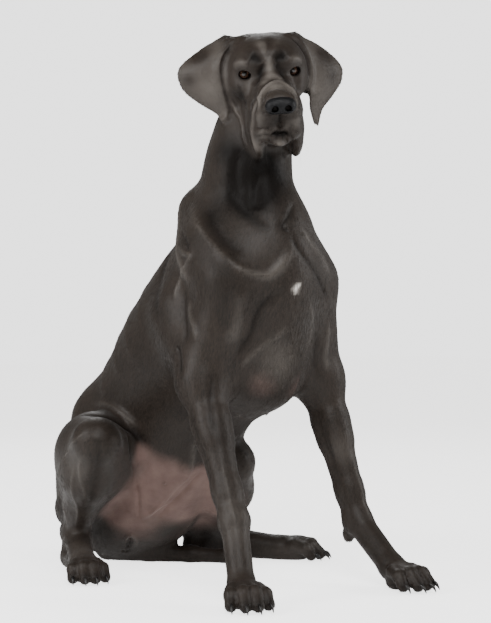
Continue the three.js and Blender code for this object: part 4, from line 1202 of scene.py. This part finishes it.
def tufts(name, count):
    corners = skin_p[skin_t]
    middles = corners.mean(1)
    area = np.linalg.norm(faces_of(skin_p, skin_t), axis=1) / 2
    wanted = area / tuft_size(middles) * (0.25 + loose_at(middles))
    wanted *= (region_of(middles) == name) & (middles[:, 2] > HAIRLESS["floor"])
    wanted *= marks["bare"][skin_t].mean(1) < HAIRLESS["bare"]
    for w in (-1, 1):
        from_eye = np.linalg.norm(middles - head(w * EYE["s"], EYE["a"], EYE["h"]), axis=1)
        wanted[from_eye < HAIRLESS["eye"]] = 0
    wanted[nose_form()(middles) < HAIRLESS["nose"]] = 0
    face = chance.choice(len(skin_t), count, p=wanted / wanted.sum())
    share = chance.random((count, 3)) + 1e-3
    share /= share.sum(1)[:, None]
    root = (corners[face] * share[:, :, None]).sum(1)
    out = (skin_n[skin_t[face]] * share[:, :, None]).sum(1)
    lie, best, along = nearest_lies(root)
    side = np.cross(lie, out) + chance.normal(0, 0.1, (count, 3))
    side -= out * (side * out).sum(1)[:, None]
    side /= np.linalg.norm(side, axis=1)[:, None] + 1e-9
    ahead = np.cross(out, side)
    length = tuft_size(root) * chance.uniform(0.7, 1.15, count)
    rise = length * (chance.uniform(0.02, 0.07, count) + 0.07 * loose_at(root))
    half = length * TUFT["half_width"]
    base = root - out * TUFT_MM["depth"]
    p = np.stack([
        base - side * half[:, None], base + side * half[:, None],
        root - ahead * (length * TUFT["behind"])[:, None] + out * TUFT_MM["swell"],
        root + ahead * length[:, None] + out * rise[:, None],
    ], 1).reshape(-1, 3)
    p[:, 2] = np.maximum(p[:, 2], TUFT_MM["off_floor"])
    faces = np.arange(count)[:, None, None] * 4 + np.array([(0, 1, 2), (0, 3, 1), (1, 3, 2), (2, 3, 0)])
    faces = faces.reshape(-1, 3)
    made = mesh_object("coat_" + name, p, faces, coat)
    values = {kind: (marks[kind][skin_t[face]] * share).sum(1) for kind in marks}
    values["shade"] = values["shade"] + chance.normal(0, 0.05, count)
    mark(made, {kind: value.repeat(4) for kind, value in values.items()})
    patch = np.array([(0, 0), (1, 0), (0.5, 0.3), (0.5, 1)]) * TUFT_PATCH
    at = unwrap(root, best, along)[:, None] + patch
    layer = made.data.uv_layers.new(name="OFBake")
    layer.data.foreach_set("uv", at.reshape(-1, 2)[faces.ravel()].astype(np.float32).ravel())
    leant = out + chance.normal(0, 0.07, (count, 3))
    leant /= np.linalg.norm(leant, axis=1)[:, None]
    made.data.normals_split_custom_set_from_vertices(leant.repeat(4, 0).tolist())


for name, count in TUFTS.items():
    tufts(name, count)


# Nose
# A pad of bare, moist leather on the tip of the muzzle, with round nostrils, side slits and a groove.
# The fine pebbles break its shine into small points, and the inside of the nostrils is painted black and
# dull, as shade.
PEBBLE = 1.6
NOSE_PATCH = 11.1
NOSE_CELL = 1.5
NOSE_HALF = 38


def nose_material():
    """Black leather: moist, so it shines softly, and pebbled, so the shine breaks up."""
    m, shader = new_material("nose_leather")
    spot = add_node(m, "ShaderNodeTexCoord").outputs["Object"]
    cells = add_node(m, "ShaderNodeTexVoronoi", {"Vector": spot, "Scale": scale_of(PEBBLE)})
    pebbles = cells.outputs["Distance"]
    patchy = {"Vector": spot, "Scale": scale_of(NOSE_PATCH), "Detail": 3.0}
    patchy = add_node(m, "ShaderNodeTexNoise", patchy).outputs["Fac"]
    # The shade mark is painted shade: the hollows of the nostrils and slits turn near black and dull.
    shade = add_node(m, "ShaderNodeAttribute", attribute_name="shade").outputs["Fac"]
    leather = layered(m, linear("#0b0b0d"), [
        ("#151517", patchy, 0.35, 0.65, 1.0),
        ("#020202", shade, 0.0, 1.0, 1.0),
    ])
    link(m, leather, shader.inputs["Base Color"])
    shine = add_node(m, "ShaderNodeMapRange", {0: shade, 1: 0.0, 2: 1.0, 3: 0.2, 4: 0.05})
    link(m, shine.outputs[0], shader.inputs["Specular IOR Level"])
    bump = add_node(m, "ShaderNodeBump", {"Height": pebbles, "Distance": 0.5 * MM, "Strength": 0.7})
    link(m, bump.outputs[0], shader.inputs["Normal"])
    rough = add_node(m, "ShaderNodeMapRange", {0: pebbles, 1: 0.0, 2: 0.8, 3: 0.28, 4: 0.5})
    link(m, rough.outputs[0], shader.inputs["Roughness"])
    return m


nose_field = nose_form()
at = head(0, NOSE["a"], NOSE["h"])
nose_p, nose_q = nets(nose_field, at - NOSE_HALF, at + NOSE_HALF, NOSE_CELL)
nose_p = settle(nose_field, nose_p)
nose = mesh_object("nose_pad", nose_p, nose_q, nose_material())
# Painted shade inside the nostrils and slits, fading out a millimetre and a half from them.
hollow = np.min([form(nose_p) for pair in nose_hollows() for form in pair], axis=0)
mark(nose, {"shade": np.clip(1 - hollow / 1.5, 0, 1)})
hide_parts("nose")


# Eyes
# Wet brown eyes set in the lids: a clear cornea over a fibrous iris, a round pupil and a dark rim.
# Each is a ball with its rings laid out round the line of sight, which meets the camera.
GAZE = unit(CAMERA_SPOT - EYES_MIDDLE)
IRIS_FIBRE = 1.1  # real fibres are 0.1 mm wide, drawn coarse enough to show
CORNEA_RISE = 0.07
IRIS_RINGS = [  # angle from the line of sight in radians, colour
    (0.0, "#030303"), (0.28, "#040303"), (0.33, "#2e2015"), (0.48, "#6f5344"), (0.68, "#5b4337"),
    (0.77, "#160d0b"), (0.9, "#3b2a25"),
]


def eye_material(name, centre, gaze):
    """A brown iris under a film of tears, which gives the eye its one bright, sharp reflection."""
    m, shader = new_material(name)
    spot = add_node(m, "ShaderNodeTexCoord").outputs["Object"]
    ray = add_node(m, "ShaderNodeVectorMath", {0: spot, 1: tuple(centre)}, operation="SUBTRACT")
    ray = add_node(m, "ShaderNodeVectorMath", {0: ray.outputs[0]}, operation="NORMALIZE")
    facing = {0: ray.outputs[0], 1: tuple(gaze)}
    facing = add_node(m, "ShaderNodeVectorMath", facing, operation="DOT_PRODUCT")
    angle = add_node(m, "ShaderNodeMath", {0: facing.outputs["Value"]}, operation="ARCCOSINE")
    ramp = add_node(m, "ShaderNodeValToRGB", {"Fac": angle.outputs[0]})
    while len(ramp.color_ramp.elements) < len(IRIS_RINGS):
        ramp.color_ramp.elements.new(0.5)
    for element, (place, colour) in zip(ramp.color_ramp.elements, IRIS_RINGS):
        element.position = place
        element.color = linear(colour)
    fibres = {"Vector": spot, "Scale": scale_of(IRIS_FIBRE), "Detail": 3.0}
    fibres = add_node(m, "ShaderNodeTexNoise", fibres).outputs["Fac"]
    iris = layered(m, ramp.outputs[0], [("#0c0706", fibres, 0.35, 0.7, 0.5)])
    link(m, iris, shader.inputs["Base Color"])
    bump = add_node(m, "ShaderNodeBump", {"Height": fibres, "Distance": 0.1 * MM, "Strength": 0.3})
    link(m, bump.outputs[0], shader.inputs["Normal"])
    rough = add_node(m, "ShaderNodeMapRange", {0: fibres, 1: 0.3, 2: 0.7, 3: 0.2, 4: 0.35})
    link(m, rough.outputs[0], shader.inputs["Roughness"])
    shader.inputs["Coat Weight"].default_value = 1.0
    shader.inputs["Coat Roughness"].default_value = 0.02
    return m


def ball(rows, columns, radius):
    turns = np.arange(columns) / columns * 2 * np.pi
    v, u = np.meshgrid(np.linspace(0, np.pi, rows + 1), turns, indexing="ij")
    p = np.stack([np.sin(v) * np.cos(u), np.sin(v) * np.sin(u), np.cos(v)], -1).reshape(-1, 3) * radius
    i, j = np.meshgrid(np.arange(rows), np.arange(columns), indexing="ij")
    k = (j + 1) % columns
    faces = np.stack([i * columns + j, (i + 1) * columns + j, (i + 1) * columns + k, i * columns + k], -1)
    return p, faces.reshape(-1, 4)


for name, side in SIDES.items():
    centre = head(side * EYE["s"], EYE["a"], EYE["h"])
    p, faces = ball(48, 64, EYE["r"])
    outward = p @ GAZE / EYE["r"]
    bulge = 1 + CORNEA_RISE * np.clip((outward - 0.8) / 0.2, 0, 1) ** 1.5
    eye = mesh_object("eyeball_" + name, centre + p * bulge[:, None], faces,
                      eye_material("wet_eye_" + name, world(centre), GAZE))
    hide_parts("eye_" + name)


# Claws
# Dark worn horn, curved and tapered, one rooted in each toe, with fine grooves along it.
# A loop sets them where the feet put their toes.
CLAW_THICK = 5.0
CLAW_ARCH = 4.5
CLAW_NARROW = 0.8  # its width as a share of its height
CLAW_WEAR = 6.25
CLAW_GROOVE = 1.4


def gathered(pieces):
    """Points and faces of several pieces as those of one mesh."""
    points, faces, count = [], [], 0
    for p, f in pieces:
        points.append(p)
        faces.append(f + count)
        count += len(p)
    return np.concatenate(points), np.concatenate(faces)


def horn(root, tip, steps=9, around=12):
    along = tip - root
    length = np.linalg.norm(along)
    ahead = along / length
    side = unit(np.cross(ahead, (0, 0, 1)))
    up = np.cross(side, ahead)
    rings = []
    for i in range(steps + 1):
        t = i / steps * 1.5 - 0.5
        arch = CLAW_ARCH * (1 - (2 * t - 1) ** 2) if t > 0 else 0
        middle = root + along * t + up * arch
        r = CLAW_THICK * (1 - max(t, 0) ** 1.7 * 0.8)
        angles = np.arange(around) / around * 2 * np.pi
        across = np.cos(angles)[:, None] * side * CLAW_NARROW
        rings.append(middle + r * (across + np.sin(angles)[:, None] * up))
    p = np.concatenate(rings + [[rings[0].mean(0)], [rings[-1].mean(0) + ahead * CLAW_THICK * 0.1]])
    faces = []
    for i in range(steps):
        for j in range(around):
            k = (j + 1) % around
            a, b, c, d = i * around + j, i * around + k, (i + 1) * around + k, (i + 1) * around + j
            faces += [(a, b, c), (a, c, d)]
    last = steps * around
    for j in range(around):
        k = (j + 1) % around
        faces += [(k, j, len(p) - 2), (last + j, last + k, len(p) - 1)]
    return p, np.array(faces)


def claw_material():
    """Blackish horn: dull and browner where it has worn, and smooth elsewhere."""
    m, shader = new_material("claw_horn")
    spot = add_node(m, "ShaderNodeTexCoord").outputs["Object"]
    worn = {"Vector": spot, "Scale": scale_of(CLAW_WEAR), "Detail": 4.0}
    worn = add_node(m, "ShaderNodeTexNoise", worn).outputs["Fac"]
    grooves = hair_grain(m, spot, (0, -1, 0), CLAW_GROOVE)
    horny = layered(m, linear("#0b0a09"), [("#1f1a18", worn, 0.4, 0.65, 1.0)])
    link(m, horny, shader.inputs["Base Color"])
    bump = add_node(m, "ShaderNodeBump", {"Height": grooves, "Distance": 0.5 * MM, "Strength": 0.5})
    link(m, bump.outputs[0], shader.inputs["Normal"])
    rough = add_node(m, "ShaderNodeMapRange", {0: worn, 1: 0.3, 2: 0.7, 3: 0.3, 4: 0.55})
    link(m, rough.outputs[0], shader.inputs["Roughness"])
    return m


claws = mesh_object("claws", *gathered(horn(root, tip) for root, tip in claw_spots), claw_material())


# Whiskers
# Thin, stiff, dark bristles on the lips and chin, which taper and droop.
# Each grows from the skin where the photo shows the lips.
WHISKERS = [  # photo pixel of the root, length, lean down
    ((256, 128), 46, 0.3), ((262, 128.5), 42, 0.2), ((268, 128), 36, 0.2), ((257, 136), 50, 0.5),
    ((264, 135), 44, 0.5), ((270, 135), 34, 0.5), ((259, 145), 44, 0.8), ((265, 143), 38, 0.8),
    ((293, 125), 42, 0.3), ((296, 131), 44, 0.4), ((297, 139), 44, 0.7), ((292, 136), 36, 0.5),
    ((276, 143), 22, 1.2), ((281, 145), 20, 1.2), ((285, 143), 22, 1.2),
]
WHISKER_THICK = 0.26
WHISKER_SHEEN = 5.0


def bristle(root, out, length, lean, steps=8):
    away = unit(out + UP * -lean * 0.6 - AHEAD * 0.35)
    spots = [root + (away * t - point(0, 0, 0.25 * t * t)) * length for t in np.linspace(-0.03, 1, steps)]
    x = unit(np.cross(away, (0.2, 0.3, 1)))
    y = np.cross(away, x)
    turns = np.arange(3) / 3 * 2 * np.pi
    ring = WHISKER_THICK * (np.cos(turns)[:, None] * x + np.sin(turns)[:, None] * y)
    rings = [s + (1 - 0.9 * i / (steps - 1)) * ring for i, s in enumerate(spots)]
    faces = [(0, 2, 1), tuple(3 * (steps - 1) + np.arange(3))]
    for i in range(steps - 1):
        for j in range(3):
            k = (j + 1) % 3
            faces += [(3 * i + j, 3 * i + k, 3 * i + 3 + k), (3 * i + j, 3 * i + 3 + k, 3 * i + 3 + j)]
    return np.concatenate(rings), np.array(faces)


def whisker_material():
    """Smooth dark hair, which shows as thin lines with a glint along them."""
    m, shader = new_material("whisker_hair")
    spot = add_node(m, "ShaderNodeTexCoord").outputs["Object"]
    sheen = {"Vector": spot, "Scale": scale_of(WHISKER_SHEEN), "Detail": 2.0}
    sheen = add_node(m, "ShaderNodeTexNoise", sheen).outputs["Fac"]
    hair = layered(m, linear("#171413"), [("#2b2624", sheen, 0.0, 1.0, 1.0)])
    link(m, hair, shader.inputs["Base Color"])
    bump = add_node(m, "ShaderNodeBump", {"Height": sheen, "Distance": 0.1 * MM, "Strength": 0.3})
    link(m, bump.outputs[0], shader.inputs["Normal"])
    rough = add_node(m, "ShaderNodeMapRange", {0: sheen, 1: 0.3, 2: 0.7, 3: 0.35, 4: 0.5})
    link(m, rough.outputs[0], shader.inputs["Roughness"])
    return m


skin_tree = tree_of(skin_p, skin_t)
bristles = []
for pixel, length, lean in WHISKERS:
    root, out = skin_tree.ray_cast(Vector(CAMERA_SPOT), Vector(ray_through(pixel)))[:2]
    bristles.append(bristle(np.array(root), np.array(out), length, lean))
whiskers = mesh_object("whiskers", *gathered(bristles), whisker_material())


# Floor, light and background
# A plain, pale studio floor that runs on into the same pale backdrop, and four soft boxes.
FLOOR_HALF = 12


def make_floor():
    """Matt pale paint, lit so that the camera sees it run into the backdrop."""
    m, shader = new_material("pale_floor")
    shader.inputs["Base Color"].default_value = linear("#f4f4f4")
    shader.inputs["Roughness"].default_value = 0.9
    shader.inputs["Emission Color"].default_value = linear("#ffffff")
    ray = add_node(m, "ShaderNodeLightPath").outputs["Is Camera Ray"]
    glow = add_node(m, "ShaderNodeMapRange", {0: ray, 3: 0.35, 4: 2.3})
    link(m, glow.outputs[0], shader.inputs["Emission Strength"])
    mesh = bpy.data.meshes.new("floor")
    corners = [(x * FLOOR_HALF, y * FLOOR_HALF, 0) for x, y in ((-1, -1), (1, -1), (1, 1), (-1, 1))]
    mesh.from_pydata(corners, [], [(0, 1, 2, 3)])
    mesh.materials.append(m)
    floor = bpy.data.objects.new("floor", mesh)
    bpy.context.scene.collection.objects.link(floor)


def softbox(name, spot, aim, size, watts):
    data = bpy.data.lights.new(name, "AREA")
    data.shape = "RECTANGLE"
    data.size, data.size_y = size
    data.energy = watts
    lamp = bpy.data.objects.new(name, data)
    lamp.location = spot
    lamp.rotation_euler = (Vector(aim) - Vector(spot)).to_track_quat("-Z", "Y").to_euler()
    bpy.context.scene.collection.objects.link(lamp)


make_floor()
# Each box: where it stands and what it is aimed at in metres, its size in metres, and its watts.
softbox("key", (-1.6, -2.2, 2.6), (0, 0, 0.5), (1.6, 1.6), 85)
softbox("side", (-3.0, 0.6, 1.8), (0, 0, 0.5), (1.0, 2.0), 75)
softbox("fill", (2.6, -2.2, 1.6), (0, 0, 0.5), (1.2, 2.0), 60)
softbox("back", (1.6, 2.6, 2.4), (0, 0, 0.6), (1.6, 1.5), 32)
sky = bpy.data.worlds.new("studio")
sky.use_nodes = True
lighting = sky.node_tree.nodes["Background"]
lighting.inputs["Color"].default_value = linear("#fffaf2")
lighting.inputs["Strength"].default_value = 0.18
backdrop = add_node(sky, "ShaderNodeBackground", {"Color": linear("#ffffff"), "Strength": 2.5})
ray = add_node(sky, "ShaderNodeLightPath").outputs["Is Camera Ray"]
either = add_node(sky, "ShaderNodeMixShader", {0: ray, 1: lighting.outputs[0], 2: backdrop.outputs[0]})
link(sky, either.outputs[0], sky.node_tree.nodes["World Output"].inputs["Surface"])
bpy.context.scene.world = sky
